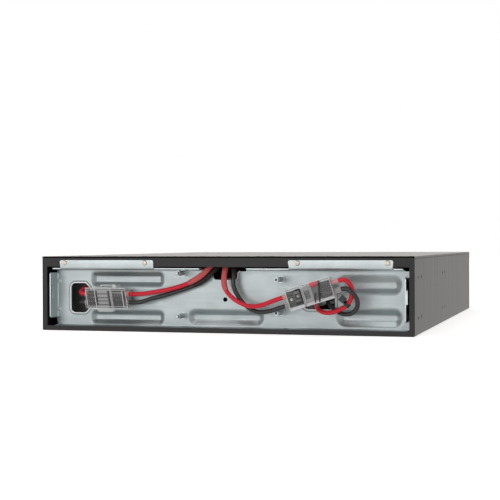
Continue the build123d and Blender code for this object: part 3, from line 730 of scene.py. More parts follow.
def make_lid_shade():
    """A dark strip of painted shade along the lid's front edge."""
    dark = Shader("hem_shadow", rough=0.8, colour=(0.004, 0.004, 0.004), Specular_IOR_Level=0.06).material
    path = [Vector((-LID_SHADE_X, LID_SHADE_Z)), Vector((LID_SHADE_X, LID_SHADE_Z))]
    edge_strip("lid_front_painted_shade", path, LID_SHADE, False, "case_black", dark)


make_rolled_edges()
make_lid_shade()


# ---- screws ----
LIP_SCREW_X = (-190.0, -90.0, 90.0, 190.0)
LIP_SCREW_Z = 79.0
HEAD_R = 3.0
HEAD_RINGS = 26
HEAD_SIDES = 56


def head_height(x, z):
    """Height of a pan head over its seat, with a cross recess, in millimetres."""
    reach = hypot(x, z)
    dome = 1.95 - 0.42 * (reach / HEAD_R) ** 2 - 1.2 * ramp_profile((reach - 2.35) / 0.65)
    arm = min(max(abs(x) - 1.75, abs(z) - 0.42), max(abs(z) - 1.75, abs(x) - 0.42))
    return dome - 1.0 * ramp_profile(-arm / 0.35 + 0.4)


def make_screw_heads():
    """The four cross-recess heads on the ears, each turned to its own angle."""
    verts, faces = [], []
    for index, screw_x in enumerate(LIP_SCREW_X):
        turn = 0.5 + 1.1 * index
        start = len(verts)
        verts.append(at(screw_x, -SHEET - head_height(0, 0), LIP_SCREW_Z))
        for ring in range(1, HEAD_RINGS + 1):
            reach = HEAD_R * ring / HEAD_RINGS
            for step in range(HEAD_SIDES):
                angle = 2 * pi * step / HEAD_SIDES
                x, z = reach * cos(angle), reach * sin(angle)
                lift = head_height(x, z)
                tx, tz = x * cos(turn) - z * sin(turn), x * sin(turn) + z * cos(turn)
                verts.append(at(screw_x + tx, -SHEET - lift, LIP_SCREW_Z + tz))
        for step in range(HEAD_SIDES):
            angle = 2 * pi * step / HEAD_SIDES + turn
            verts.append(at(screw_x + HEAD_R * cos(angle), -SHEET, LIP_SCREW_Z + HEAD_R * sin(angle)))
        for step in range(HEAD_SIDES):
            after = (step + 1) % HEAD_SIDES
            faces.append((start, start + 1 + step, start + 1 + after))
            for ring in range(HEAD_RINGS):
                a = start + 1 + ring * HEAD_SIDES
                b = a + HEAD_SIDES
                faces.append((a + step, b + step, b + after, a + after))
        base = start + 1 + HEAD_RINGS * HEAD_SIDES
        faces.append(tuple(base + step for step in reversed(range(HEAD_SIDES))))
    mesh = closed_mesh("lip_screw_heads", verts, faces)
    heads = new_object("lip_screw_heads", mesh, "screw_steel", smooth=40)
    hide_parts("retainer_screws")


make_screw_heads()


# ---- cords ----
def side_quads(rings, sides):
    """Faces between the rings of a tube."""
    quads = []
    for ring in range(rings - 1):
        for step in range(sides):
            a, b = ring * sides + step, ring * sides + (step + 1) % sides
            quads.append((a, b, b + sides, a + sides))
    return quads


LEAD_D = 5.0
TUBE_SIDES = 20
LEAD_ROUTES = {
    "left_harness_red_lead": (
        (-9.5, 59.9, 76.5), (-9.5, 46, 76.5), (-10.9, 31, 78.2), (-13.2, 18, 78.0), (-15.2, 9, 74.2),
        (-20.6, 6.2, 67.0), (-30, 6, 60.4), (-43, 6, 54.2), (-60, 6, 49.2), (-77, 6.4, 46.0),
        (-92, 7, 43.6), (-100, 7, 42.9), (-106.8, 7, 42.9)),
    "left_harness_black_lead": (
        (-2.9, 59.9, 76.5), (-2.9, 47, 76.5), (-4.4, 33, 77.6), (-7.4, 21, 75.6), (-12.4, 14.6, 69.6),
        (-20.4, 12.8, 61.6), (-30, 12.2, 55.2), (-44, 11.8, 49.6), (-59, 10.6, 45.0), (-74, 9.2, 40.4),
        (-86.5, 8.0, 37.6), (-94.5, 7.1, 34.7), (-100.8, 7, 33.1), (-106.8, 7, 33.1)),
    "right_harness_red_lead": (
        (3.7, 59.9, 76.5), (3.7, 46, 76.5), (4.1, 31, 78.2), (3.9, 17, 77.6), (3.7, 8.4, 72.4),
        (3.4, 5.2, 63.6), (3.7, 3.8, 54.6), (7.6, 2.4, 46.0), (15.4, 0.2, 39.2), (26, -2.4, 33.6),
        (38, -5.4, 30.6), (49.6, -8.8, 32.0), (59.4, -11.8, 35.4), (68.91, -13, 39.11),
        (76.56, -13, 41.46)),
    "right_harness_black_lead": (
        (10.3, 59.9, 76.5), (10.3, 47, 76.5), (10.6, 34, 78.2), (11.2, 21.5, 77.4), (12.8, 12.4, 71.6),
        (13.2, 9.0, 62.8), (13.2, 8.2, 54.6), (16.2, 7.8, 46.0), (21.6, 6.8, 38.2), (29.0, 4.6, 31.0),
        (38.6, 0.6, 26.0), (49.2, -4.4, 24.5), (60.2, -9.8, 26.0), (71.79, -13, 29.75),
        (79.44, -13, 32.10)),
    "right_battery_red_lead": (
        (138.95, -13, 60.65), (143.75, -13, 62.13), (149.2, -12.0, 59.4), (152.9, -10.2, 52.8),
        (152.8, -8.6, 44.8), (149.8, -7.0, 37.2), (143.8, -5.0, 31.4), (134.6, -2.4, 27.0),
        (124.4, 0.6, 24.2), (114.6, 4.4, 25.8), (108.6, 10.2, 30.6), (106.3, 18.0, 34.6),
        (105.2, 28.0, 37.0), (105.0, 42.0, 37.8), (105.0, 55.9, 37.8)),
    "right_battery_black_lead": (
        (141.83, -13, 51.29), (146.6, -13.4, 52.7), (152.4, -15.4, 49.6), (157.8, -13.2, 43.4),
        (159.4, -9.6, 35.8), (156.6, -5.8, 28.6), (149.8, -1.6, 23.8), (141.4, 2.4, 23.0),
        (133.2, 6.8, 25.8), (125.6, 11.8, 30.2), (119.6, 18.2, 34.2), (117.4, 28.0, 37.0),
        (117.0, 42.0, 37.8), (117.0, 55.9, 37.8)),
    "left_battery_red_lead": (
        (-167.3, 7, 42.9), (-172.0, 7, 42.9), (-175.0, 11.2, 45.0), (-175.0, 18.0, 47.8),
        (-173.4, 26.0, 49.8), (-172.0, 36.0, 50.2), (-171.4, 46.0, 49.6), (-171.4, 55.9, 49.6)),
    "left_battery_black_lead": (
        (-167.3, 7, 33.1), (-172.0, 7, 33.1), (-175.0, 11.6, 32.5), (-175.6, 18.4, 32.3),
        (-174.6, 26.6, 32.8), (-173.4, 36.0, 32.9), (-172.8, 46.0, 32.8), (-172.8, 55.9, 32.8)),
}
SLEEVE_SHARES = {
    "left_harness_red_lead": 0.545, "left_harness_black_lead": 0.51,
    "right_harness_red_lead": 0.50, "right_harness_black_lead": 0.36,
}
# spans along each harness lead; nothing makes a lead follow its plug by them
PULL_SPANS = {"left": (at(-14, 7, 60), at(-104, 7, 37)), "right": (at(14, -4, 40), at(74, -13, 36))}


def route_line(name):
    """The lead's smooth centreline, read from the NURBS spline through its route."""
    curve = bpy.data.curves.new(name + "_line", "CURVE")
    curve.dimensions = "3D"
    curve.resolution_u = 10
    spline = curve.splines.new("NURBS")
    route = LEAD_ROUTES[name]
    spline.points.add(len(route) - 1)
    for point, place in zip(spline.points, route):
        point.co = (*at(*place), 1.0)
    spline.order_u = 3
    spline.use_endpoint_u = True
    carrier = linked(name + "_line", curve)
    bpy.context.view_layer.update()
    graph = bpy.context.evaluated_depsgraph_get()
    read = bpy.data.meshes.new_from_object(carrier.evaluated_get(graph))
    line = [vertex.co.copy() for vertex in read.vertices]
    bpy.data.objects.remove(carrier)
    return line


def line_length(line):
    """The length along a line of points."""
    return sum((b - a).length for a, b in zip(line, line[1:]))


def tube_mesh(name, line, radius_at):
    """A capped tube along a line; radius_at gives its radius, in metres, by the share of its length."""
    total = line_length(line)
    sides = TUBE_SIDES
    verts = []
    run = 0.0
    tangent = (line[1] - line[0]).normalized()
    normal = tangent.orthogonal().normalized()
    for index, centre in enumerate(line):
        ahead = line[min(index + 1, len(line) - 1)] - line[max(index - 1, 0)]
        tangent = ahead.normalized()
        normal = (normal - tangent * normal.dot(tangent)).normalized()
        side = tangent.cross(normal)
        if index:
            run += (centre - line[index - 1]).length
        radius = radius_at(run / total)
        for step in range(sides):
            angle = 2 * pi * step / sides
            verts.append(centre + (normal * cos(angle) + side * sin(angle)) * radius)
    last = (len(line) - 1) * sides
    caps = [tuple(reversed(range(sides))), tuple(range(last, last + sides))]
    return raw_mesh(name, verts, side_quads(len(line), sides) + caps)


def lead_radius(share):
    """Wire insulation is very slightly uneven along its length."""
    return (LEAD_D / 2 + 0.03 * sin(41 * share)) * MM


def sleeve_radius(share):
    """Shrunk sleeve: snug at its ends, a little fuller and wrinkled between."""
    ends = min(1.0, share / 0.05, (1 - share) / 0.05)
    return (LEAD_D / 2 + 0.30 + 0.42 * ends + 0.05 * sin(57 * share) + 0.04 * sin(23 * share)) * MM


def finish_lead(piece, side, harness):
    """A harness lead is baked in place and joins no body; a battery lead stays with the case."""
    if harness:
        start, end = PULL_SPANS[side]
        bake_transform(piece)
        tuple(start)
        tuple(end)
    else:
        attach(piece, "root")


def make_leads():
    """Every lead's wire, and the shrink sleeve at the loom end of a harness lead."""
    leads = {}
    for name in LEAD_ROUTES:
        side, owner, tone = name.split("_")[:3]
        harness = owner == "harness"
        line = route_line(name)
        mesh = tube_mesh(name + "_wire", line, lead_radius)
        lead = new_object(name + "_wire", mesh, "lead_" + tone, body=None, smooth=60)
        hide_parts(name)
        leads[name] = (lead, line)
        finish_lead(lead, side, harness)
        if harness:
            upto = SLEEVE_SHARES[name] * line_length(line)
            covered, run = [line[0]], 0.0
            for a, b in zip(line, line[1:]):
                run += (b - a).length
                if run > upto:
                    break
                covered.append(b)
            sleeve_mesh = tube_mesh(name + "_sleeve", covered, sleeve_radius)
            sleeve = new_object(name + "_sleeve", sleeve_mesh, "shrink_" + tone, body=None, smooth=60)
            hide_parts(name.replace("_lead", "_sleeve"))
            finish_lead(sleeve, side, True)
    return leads


leads = make_leads()


# ---- connectors ----
SOCKET_CORE_U = -18.45
PLUG_CORE_U = 7.2
HALF_V = 12.3
HALF_F = 7.5
SHELL_WALL = 1.1
POLE_V = 4.9
COLLAR_R = 3.1
WIRE_R = 2.45
AXIS_SHIFT = {"left": 2.8, "right": -1.55}
LEFT_LEAN = -0.17
BAR_LEAN = -0.24
KEY_RAIL = ((-8, -15.9), (9, -15.9), (12, -13.6), (12, -12.2), (-10, -12.2), (-10, -13.6))


def box_middle(node):
    """The centre of a CAD node's box."""
    low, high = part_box(node)
    return (low + high) / 2


class PlugFrame:
    """Axes of a connector pair in millimetres: u to the harness, v up across it, f to the front."""

    def __init__(self, side):
        socket = box_middle(side + "_socket_core")
        plug = box_middle(side + "_plug_core")
        run = plug - socket
        self.side = side
        self.u = run.normalized()
        self.v = Vector((-self.u.z, 0, self.u.x)) * (1 if self.u.x > 0 else -1)
        self.f = Vector((0, -1, 0))
        self.origin = socket + run * (-SOCKET_CORE_U / (PLUG_CORE_U - SOCKET_CORE_U))
        self.origin -= self.u * AXIS_SHIFT[side] * MM
        self.flip = self.u.cross(self.v).dot(self.f) < 0

    def at(self, u, v, f):
        """A point in metres."""
        return self.origin + (self.u * u + self.v * v + self.f * f) * MM


BOX_FACES = ((0, 2, 3, 1), (4, 5, 7, 6), (0, 1, 5, 4), (2, 6, 7, 3), (0, 4, 6, 2), (1, 3, 7, 5))


class Moulding:
    """Collects blocks, bars and hollow sleeves in a connector's axes into one bevelled piece."""

    def __init__(self, frame):
        self.frame = frame
        self.verts = []
        self.faces = []

    def add(self, points, faces):
        """Adds a closed body; its faces stay outwards where the axes are left-handed."""
        start = len(self.verts)
        self.verts += [self.frame.at(*point) for point in points]
        for face in faces:
            indices = [start + i for i in face]
            self.faces.append(tuple(reversed(indices)) if self.frame.flip else tuple(indices))

    def block(self, u0, u1, v0, v1, f0, f1, lean=0.0):
        """A box; lean shifts it along u by that much per millimetre of v."""
        points = [(u + lean * v, v, f) for f in (f0, f1) for v in (v0, v1) for u in (u0, u1)]
        self.add(points, BOX_FACES)
        return self

    def prism(self, outline, f0, f1):
        """An outline in u and v, counter-clockwise, raised from f0 to f1."""
        count = len(outline)
        points = [(u, v, f0) for u, v in outline] + [(u, v, f1) for u, v in outline]
        faces = [tuple(reversed(range(count))), tuple(range(count, 2 * count))]
        faces += [(i, (i + 1) % count, (i + 1) % count + count, i + count) for i in range(count)]
        self.add(points, faces)
        return self

    def disc(self, u, v, radius, f0, f1):
        """A round mark or button."""
        turns = [i * pi / 8 for i in range(16)]
        return self.prism([(u + radius * cos(turn), v + radius * sin(turn)) for turn in turns], f0, f1)

    def sleeve(self, outer, inner):
        """Hollow rounded sleeve from (u, half v, half f, radius) sections, outer first, inner back again."""
        rings = []
        for u, half_v, half_f, radius in list(outer) + list(inner):
            ring = rounded_box_outline(-half_v, half_v, -half_f, half_f, radius, 5)
            rings.append([(u, point.x, point.y) for point in ring])
        count = len(rings[0])
        points = [point for ring in rings for point in ring]
        faces = [tuple(range(count)), tuple(reversed(range((len(rings) - 1) * count, len(rings) * count)))]
        for ring in range(len(rings) - 1):
            for i in range(count):
                a, b = ring * count + i, ring * count + (i + 1) % count
                faces.append((a, a + count, b + count, b))
        if outer[0][0] > outer[-1][0]:
            faces = [tuple(reversed(face)) for face in faces]
        self.add(points, faces)
        return self

    def shell(self, closed_u, mouth_u):
        """Thin sleeve closed at one end, with a stepped rim at its mouth."""
        way = 1 if mouth_u > closed_u else -1
        rim = mouth_u - 1.8 * way
        wall = SHELL_WALL
        outer = (
            (closed_u, HALF_V - 1.0, HALF_F - 1.0, 1.6),
            (closed_u + 0.9 * way, HALF_V - 0.3, HALF_F - 0.3, 2.2),
            (rim - 0.4 * way, HALF_V - 0.3, HALF_F - 0.3, 2.2), (rim, HALF_V, HALF_F, 2.4),
            (mouth_u, HALF_V, HALF_F, 2.4))
        inner = (
            (mouth_u, HALF_V - wall, HALF_F - wall, 1.5),
            (closed_u + wall * way, HALF_V - wall, HALF_F - wall, 1.5))
        return self.sleeve(outer, inner)

    def painted_highlight_lines(self, u0, u1, lean=0.0):
        """Strips of painted highlight along the edges of a clear half, where its walls are seen end on."""
        for v0, v1 in ((11.3, 12.2), (-12.2, -11.3), (9.0, 9.5), (-9.6, -9.1)):
            middle = lean * (v0 + v1) / 2
            self.block(u0 + middle, u1 + middle, v0, v1, 7.0, 7.75)
        for u in (u0, u1):
            self.block(u - 0.35, u + 0.35, -11.8, 11.8, 6.9, 7.8, lean)
        return self

    def rod(self, u0, u1, v, radius, waist=0.0):
        """Round bar along u with a slight waist."""
        sides = TUBE_SIDES
        rings = []
        for share in (0.0, 0.12, 0.5, 0.88, 1.0):
            size = radius - waist * sin(pi * share)
            u = u0 + (u1 - u0) * share
            turns = [2 * pi * i / sides for i in range(sides)]
            rings.append([(u, v + size * cos(turn), size * sin(turn)) for turn in turns])
        points = [point for ring in rings for point in ring]
        caps = [tuple(reversed(range(sides))), tuple(range(4 * sides, 5 * sides))]
        self.add(points, caps + side_quads(5, sides))
        return self

    def blocks(self, *boxes, lean=0.0):
        """Several boxes with the same lean."""
        for box in boxes:
            self.block(*box, lean)
        return self

    def done(self, name, body, slot="core_grey", edge=0.25, replaces=(), look=None):
        """Turns what was collected into a bevelled piece that rides on a body."""
        piece = new_object(name, raw_mesh(name, self.verts, self.faces), slot, body=None, smooth=40)
        bevel(piece, edge)
        piece.data.shade_smooth()
        piece.data.set_sharp_from_angle(angle=radians(50))
        if look:
            repaint(piece.data, look)
        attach(piece, body)
        if replaces:
            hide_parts(*replaces)
        return piece


CORE_LIGHT = moulded("core_light", (0.39, 0.39, 0.41), 0.40)
CORE_MID = moulded("core_mid", (0.16, 0.158, 0.170), 0.40)
# black moulding for the socket's bars and the latch mark, also used for strips of painted shadow in gaps
# between parts
BLACK_MOULDING_AND_GAP_SHADE = moulded("black_moulding_and_painted_gap_shade", (0.012, 0.012, 0.013), 0.5)
# a brighter, more opaque clear moulding for the key rail, latch cheeks and lever, also used for strips of
# painted highlight along the clear shells' edges
CLEAR_PARTS_AND_HIGHLIGHTS = clear_plastic("clear_ribs", (0.93, 0.95, 0.97), 0.42, 0.8)
WHITE_DOT = moulded("probe_port", (0.85, 0.85, 0.85), 0.3)


def cut_window(piece, opening):
    """Cuts the volume collected in a moulding out of a finished piece."""
    cutter = linked("window", raw_mesh("window", opening.verts, opening.faces))
    modifier = piece.modifiers.new("window", "BOOLEAN")
    modifier.operation = "DIFFERENCE"
    modifier.solver = "EXACT"
    modifier.object = cutter
    apply_modifiers(piece)
    bpy.data.objects.remove(cutter)


def body_of(half):
    """Battery halves are fixed to the case; harness halves slide."""
    return "root" if half.endswith("socket") else half


def finish_shell(moulding, half):
    """The clear sleeve of a half, in place of its CAD shell."""
    body = body_of(half)
    return moulding.done(half + "_sleeve", body, "clear_shell", edge=0.2, replaces=(half + "_shell",))


def finish_highlights(moulding, half):
    """Strips of painted highlight along the edges and rims of a half."""
    moulding.done(half + "_ribs", body_of(half), "clear_shell", look=CLEAR_PARTS_AND_HIGHLIGHTS)


def make_lead_ends(plug, u0, u1, radius, body, name, edge=0.25):
    """Straight ends of the red and the black lead."""
    for v, tone in ((POLE_V, "red"), (-POLE_V, "black")):
        Moulding(plug).rod(u0, u1, v, radius).done(name.format(tone), body, "lead_" + tone, edge)


def make_collars(plug, half, u0, u1):
    """Clear collars over the lead ends, with the wire seen inside them."""
    body = body_of(half)
    collars = Moulding(plug)
    for v in (-POLE_V, POLE_V):
        collars.rod(u0, u1, v, COLLAR_R, waist=0.25)
    collars.done(half + "_bushes", body, "collar_clear", edge=0.3, replaces=(half + "_collars",))
    make_lead_ends(plug, u0, u1 + (0.3 if u1 > u0 else -0.3), WIRE_R, body, half + "_bushes_{}_wire", 0.3)


def make_left_battery_half(plug):
    """The fixed half; its moulded steps lean, shifting along u as they go up."""
    lean = LEFT_LEAN
    finish_shell(Moulding(plug).shell(-23.2, 10.0), "left_socket")
    key = Moulding(plug).prism(KEY_RAIL, -3.4, 3.4)
    key.done("left_socket_key", "root", "clear_shell", edge=0.4, look=CLEAR_PARTS_AND_HIGHLIGHTS)
    # strips of painted highlight along the shell's edges
    highlight_strips = Moulding(plug).painted_highlight_lines(-21.0, 9.4, lean).block(-10.4, -9.6, -11.2, 11.0, 6.9, 7.9, lean)
    finish_highlights(highlight_strips, "left_socket")
    core = Moulding(plug).block(-21.6, -10.6, -8.8, 8.8, -6.2, 4.0)
    flecks = Moulding(plug)
    for row in range(4):
        for column in range(3):
            odd = (row + column) % 2
            u = -20.6 + 3.5 * column + 0.5 * (row % 2)
            v = -10.4 + 4.6 * row
            core.block(u, u + 2.5, v, v + 3.1, 3.8, 5.9 + 0.5 * odd, lean)
            u = -20.0 + 3.5 * column + 0.9 * odd
            v = -8.4 + 4.6 * row
            flecks.block(u, u + 1.3, v, v + 0.5, 5.8, 6.7, lean)
    core.done("left_socket_block", "root", edge=0.35, replaces=("left_socket_core",))
    flecks.done("left_socket_flecks", "root", edge=0.1, look=CORE_LIGHT)
    make_collars(plug, "left_socket", -22.0, -25.8)


def make_left_harness_half(plug):
    """The sliding half, with a ribbed nose, a block of small steps and two dark strips of painted shadow in
    the gaps at the ends of the block.
    """
    lean = LEFT_LEAN
    finish_shell(Moulding(plug).shell(28.8, 10.3), "left_plug")
    # strips of painted highlight along the shell's edges
    highlight_strips = Moulding(plug).painted_highlight_lines(10.8, 28.2, lean)
    highlight_strips.blocks((23.6, 24.5, -10.6, 8.2, 6.6, 7.9), (7.8, 23, 6.2, 6.8, 5.9, 6.4), lean=lean)
    finish_highlights(highlight_strips, "left_plug")
    cheeks = Moulding(plug)
    outline = ((10.4, 12.0), (15.0, 12.0), (15.0, 14.6), (13.9, 16.0), (11.5, 16.0), (10.4, 14.6))
    for f in (-5.3, 5.3):
        cheeks.prism(outline, f - 1, f + 1)
    cheeks.done("left_latch_cheeks", "left_plug", "clear_shell", look=CLEAR_PARTS_AND_HIGHLIGHTS)
    nose = Moulding(plug).block(-7.7, 7.4, -8.8, 8.8, -5.6, 3.8).block(-8.0, 5.4, -10.6, 9.6, 3.6, 4.9, lean)
    nose.done("left_plug_nose", "left_plug", edge=0.4, replaces=("left_plug_core",), look=CORE_MID)
    ribs = Moulding(plug)
    for v0, v1 in ((5.6, 9.4), (1.2, 4.4), (-2.5, 0.0), (-6.8, -3.6), (-11.4, -7.9)):
        ribs.block(-7.8, 5.2, v0, v1, 4.7, 6.3, lean)
    ribs.done("left_nose_ribs", "left_plug", edge=0.5, look=CORE_LIGHT)
    core = Moulding(plug).block(7.4, 23.2, -8.8, 8.8, -6.0, 3.6)
    for column in range(7):
        for row, (v0, v1) in enumerate(((-10.3, -5.8), (-5.2, -0.8), (-0.2, 4.4))):
            u = 8.0 + 2.05 * column + 0.5 * (row % 2)
            core.block(u, u + 1.2, v0, v1, 3.4, 5.8, lean)
    core.done("left_plug_block", "left_plug", edge=0.3)
    flecks = Moulding(plug)
    for column in range(6):
        for row, v in enumerate((-7.4, -2.6, 2.4)):
            u = 9.2 + 2.05 * column + 0.5 * (row % 2)
            flecks.block(u, u + 0.5, v, v + 1.4, 5.6, 6.4, lean)
    flecks.block(7.8, 22.2, 5.2, 5.7, 5.4, 6.0, lean)
    flecks.done("left_plug_flecks", "left_plug", edge=0.1, look=CORE_MID)
    # painted shadow: dark strips in the gaps at both ends of the block
    gap_shades = Moulding(plug).block(5.5, 7.0, -10.4, 9.2, 4.8, 6.3, lean)
    gap_shades.block(25.0, 26.2, -9.6, 8.4, -5.4, 3.4, lean * 0.9)
    gap_shades.done("left_plug_gap_shadows", "left_plug", edge=0.3, look=BLACK_MOULDING_AND_GAP_SHADE)
    make_collars(plug, "left_plug", 24.6, 29.0)
    make_lead_ends(plug, 29.0, 34.2, LEAD_D / 2, "left_plug", "left_plug_{}_tail")


def make_left_latch(plug):
    """The rocking lever with its grip ribs."""
    outline = ((-5.7, 12.9), (-4.4, 12.9), (-4.0, 14.3), (17.2, 14.3), (17.2, 15.2), (-5.7, 15.6))
    lever = Moulding(plug).prism(outline, -4, 4).block(-3, 11, 15.2, 15.7, -2.6, 2.6)
    lever.done("left_latch_lever", "left_latch", "clear_shell", replaces=("left_plug_latch",),
               look=CLEAR_PARTS_AND_HIGHLIGHTS)
    grip = Moulding(plug)
    for u in (12.0, 12.9, 13.8):
        grip.block(u - 0.28, u + 0.28, 13.6, 16.1, -3.9, 3.9)
    grip.done("left_latch_grip", "left_latch", "clear_shell", look=CORE_MID)


def make_right_battery_half(plug):
    """The fixed half, with its grille, two dark bars and the red lock."""
    key = [(u - 4, v) for u, v in KEY_RAIL]
    finish_shell(Moulding(plug).shell(-27.5, 5.6).prism(key, -3.4, 3.4), "right_socket")
    # strips of painted highlight along the shell's edges and its lower wall
    highlight_strips = Moulding(plug).painted_highlight_lines(-27.0, 5.0).block(-26.8, 4.8, -11.6, -9.3, 6.7, 7.3)
    finish_highlights(highlight_strips, "right_socket")
    core = Moulding(plug).blocks(
        (-26.6, -12.6, -8.0, 8.6, -6.2, 4.0), (-26.4, -15.6, 4.0, 8.6, 3.8, 6.1),
        (-26.4, -13.4, -8.0, -1.4, 3.8, 6.1))
    for u in (-25.6, -23.0, -20.4, -17.8):
        core.block(u, u + 1.6, -0.8, 3.2, 3.8, 5.5)
    core.done("right_socket_block", "root", edge=0.35, replaces=("right_socket_core",))
    grille = Moulding(plug)
    for index in range(4):
        u = -10.8 + 1.6 * index
        grille.block(u, u + 0.9, -8.8, 8.4, 6.0, 6.9, -0.05)
    for v in (6.2, 3.4, 1.1, -1.2, -4.8):
        grille.block(-25.4, -16.0, v, v + 0.45, 5.4, 6.6)
    grille.done("right_socket_grille", "root", edge=0.12, look=CORE_MID)
    bars = Moulding(plug).blocks(
        (-13.8, -11.9, -11.2, 10.6, 6.9, 8.0), (-8.5, -7.5, -11.2, -0.4, 6.9, 8.0), lean=BAR_LEAN)
    bars.done("right_socket_bars", "root", edge=0.3, look=BLACK_MOULDING_AND_GAP_SHADE)
    make_collars(plug, "right_socket", -27.2, -34.9)
    lock = Moulding(plug).blocks(
        (-12.9, -4.3, 9.0, 11.0, -4.5, 4.5), (-12.9, -4.3, 8.6, 10.8, 7.6, 8.2),
        (-9.3, -6.9, 6.0, 11.4, 7.8, 8.4), (-11.8, -5.0, 7.4, 8.4, 7.6, 8.0))
    lock.done("right_lock_bar", "root", "lock_red", edge=0.3, replaces=("right_socket_lock",))


def make_right_harness_half(plug):
    """The sliding half, with a windowed nose, painted shadow in the gap round its latch tongue and a white
    probe port.
    """
    sleeve = finish_shell(Moulding(plug).shell(24.4, 5.95), "right_plug")
    cut_window(sleeve, Moulding(plug).block(8.5, 15.7, -5.0, 7.9, 6.1, 8.6))
    # strips of painted highlight along the shell's edges and its lower wall
    highlight_strips = Moulding(plug).painted_highlight_lines(6.4, 24.0).block(6.6, 23.8, -11.6, -9.3, 6.7, 7.3)
    finish_highlights(highlight_strips, "right_plug")
    nose = Moulding(plug).blocks((-11.9, 5.6, -8.8, 8.6, -5.6, 3.6), (-4.8, 5.6, -9.0, 8.7, 3.4, 5.6))
    nose.done("right_plug_nose", "right_plug", edge=0.4, replaces=("right_plug_core",), look=CORE_LIGHT)
    window = Moulding(plug).prism(rounded_box_outline(-1.9, 4.4, -4.9, 4.9, 1.0, 4), 5.4, 5.9)
    window.done("right_nose_window", "right_plug", edge=0.1, look=CORE_MID)
    lines = Moulding(plug)
    for u in (-0.6, 1.0, 2.6):
        lines.block(u, u + 0.5, -3.8, 3.8, 5.7, 6.2)
    lines.done("right_window_lines", "right_plug", edge=0.1)
    core = Moulding(plug).blocks(
        (6.2, 24.0, -8.4, 8.6, -6.2, 4.0), (16.6, 23.8, -8.4, 8.8, 3.8, 6.0),
        (7.6, 16.4, 8.0, 8.8, 3.8, 6.0), (17.4, 22.8, 4.2, 5.0, 5.8, 6.5),
        (17.4, 22.8, -6.4, -5.6, 5.8, 6.5))
    core.done("right_plug_block", "right_plug", edge=0.35)
    marks = Moulding(plug)
    for v in (6.2, 2.6, -3.6):
        marks.block(17.2, 23.0, v, v + 0.45, 5.8, 6.7)
    marks.done("right_plug_marks", "right_plug", edge=0.1, look=CORE_MID)
    # painted shadow: dark strips in the gap round the latch tongue
    gap_shades = Moulding(plug).blocks(
        (8.0, 12.8, 8.0, 9.1, 7.4, 8.0), (7.2, 8.5, -6.9, 8.9, 7.4, 8.0),
        (7.2, 15.6, -7.0, -5.9, 7.4, 8.0))
    gap_shades.done("right_plug_gap_shadows", "right_plug", edge=0.2, look=BLACK_MOULDING_AND_GAP_SHADE)
    port = Moulding(plug).disc(19.6, -0.2, 1.3, 5.6, 7.2)
    port.done("right_probe_port", "right_plug", edge=0.2, look=WHITE_DOT)
    make_collars(plug, "right_plug", 23.4, 29.8)


def make_right_latch(plug):
    """The press tongue with a framed mark and a small round button."""
    tongue = Moulding(plug).block(8.8, 15.4, -4.5, 7.4, 6.4, 7.3)
    tongue.done("right_latch_tongue", "right_latch", "clear_shell", replaces=("right_plug_latch",),
                look=CORE_MID)
    mark = Moulding(plug).blocks(
        (9.2, 14.4, 3.2, 4.1, 7.2, 7.8), (13.5, 14.4, -1.4, 4.1, 7.2, 7.8),
        (9.0, 14.4, -1.9, -1.0, 7.2, 7.8))
    mark.done("right_latch_frame", "right_latch", "clear_shell", edge=0.15, look=BLACK_MOULDING_AND_GAP_SHADE)
    button = Moulding(plug).disc(11.5, 1.2, 1.1, 7.2, 7.9)
    button.done("right_latch_button", "right_latch", "clear_shell", edge=0.2, look=CORE_LIGHT)


left_plug_axes = PlugFrame("left")
make_left_battery_half(left_plug_axes)
make_left_harness_half(left_plug_axes)
make_left_latch(left_plug_axes)
right_plug_axes = PlugFrame("right")
make_right_battery_half(right_plug_axes)
make_right_harness_half(right_plug_axes)
make_right_latch(right_plug_axes)


# ---- lights, floor, world ----
BACK_LEFT, BACK_RIGHT = 2.35, 0.92
FRONT_WALL = 0.80
CEILING = 0.52
GROUND = 0.78
WARM_WHITE = (1.0, 0.972, 0.940, 1)
FLOOR_HALF = 6.0
AIM = (0, -0.28, 0.04)


def area_light(name, place, size, power):
    """A soft rectangular light aimed at the front."""
    data = bpy.data.lights.new(name, "AREA")
    data.shape = "RECTANGLE"
    data.size, data.size_y = size
    data.energy = power
    light = linked(name, data)
    light.location = place
    light.rotation_euler = (Vector(AIM) - Vector(place)).to_track_quat("-Z", "Y").to_euler()


def sky_mix(tree, factor, first, second):
    """Blends two strengths, each a number or a node's output."""
    node = tree.nodes.new("ShaderNodeMix")
    node.data_type = "FLOAT"
    for socket, value in ((2, first), (3, second)):
        if isinstance(value, float):
            node.inputs[socket].default_value = value
        else:
            tree.links.new(value, node.inputs[socket])
    tree.links.new(factor, node.inputs[0])
    return node.outputs[0]


def sky_ramp(tree, value, low, high):
    """A smooth step from 0 to 1 between two values."""
    node = add_node(tree, "ShaderNodeMapRange", From_Min=low, From_Max=high)
    node.interpolation_type = "SMOOTHSTEP"
    tree.links.new(value, node.inputs["Value"])
    return node.outputs["Result"]


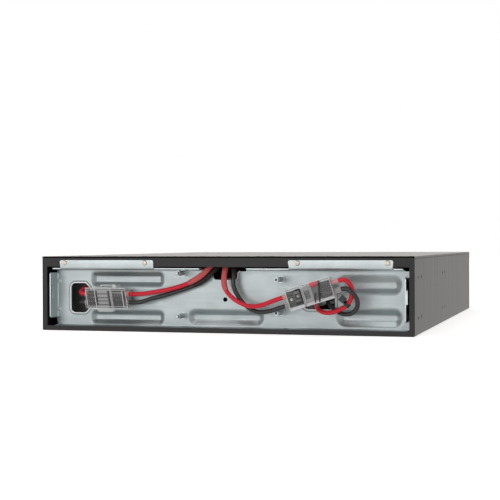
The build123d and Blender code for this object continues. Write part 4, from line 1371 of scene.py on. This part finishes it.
def make_world():
    """A white room: bright low walls, brightest at the back on the left, with a dim ceiling and ground."""
    world = bpy.data.worlds.new("studio")
    world.use_nodes = True
    tree = world.node_tree
    background = tree.nodes["Background"]
    coords = tree.nodes.new("ShaderNodeTexCoord")
    axes = tree.nodes.new("ShaderNodeSeparateXYZ")
    tree.links.new(coords.outputs["Generated"], axes.inputs["Vector"])
    back = sky_mix(tree, sky_ramp(tree, axes.outputs["X"], -0.12, 0.16), BACK_LEFT, BACK_RIGHT)
    wall = sky_mix(tree, sky_ramp(tree, axes.outputs["Y"], -0.3, 0.5), FRONT_WALL, back)
    room = sky_mix(tree, sky_ramp(tree, axes.outputs["Z"], 0.08, 0.55), wall, CEILING)
    room = sky_mix(tree, sky_ramp(tree, axes.outputs["Z"], -0.08, -0.55), room, GROUND)
    seen = tree.nodes.new("ShaderNodeLightPath").outputs["Is Camera Ray"]
    tree.links.new(sky_mix(tree, seen, room, 1.0), background.inputs["Strength"])
    tint = tree.nodes.new("ShaderNodeMix")
    tint.data_type = "RGBA"
    tint.inputs[6].default_value = WARM_WHITE
    tint.inputs[7].default_value = (1.0, 1.0, 1.0, 1)
    tree.links.new(seen, tint.inputs[0])
    tree.links.new(tint.outputs[2], background.inputs["Color"])
    bpy.context.scene.world = world


def make_studio():
    """The room, a paper floor that neither lights nor is mirrored, and two soft lights."""
    bpy.context.scene.view_settings.view_transform = "Standard"
    make_world()
    corners = [(x * FLOOR_HALF, y * FLOOR_HALF, 0) for x, y in ((-1, -1), (1, -1), (1, 1), (-1, 1))]
    floor = linked("floor", raw_mesh("floor", corners, [(0, 1, 2, 3)]))
    paper = Shader("floor_paper", rough=0.9, colour=(0.9, 0.9, 0.9))
    paper.set("Emission Color", (1, 1, 1, 1))
    paper.set("Emission Strength", 0.62)
    floor.data.materials.append(paper.material)
    floor.visible_glossy = False
    floor.visible_diffuse = False
    area_light("front_box", (-0.9, -3.0, 0.3), (2.6, 0.7), 12)
    area_light("overhead", (-0.3, -1.7, 2.1), (1.0, 0.35), 6)


make_studio()
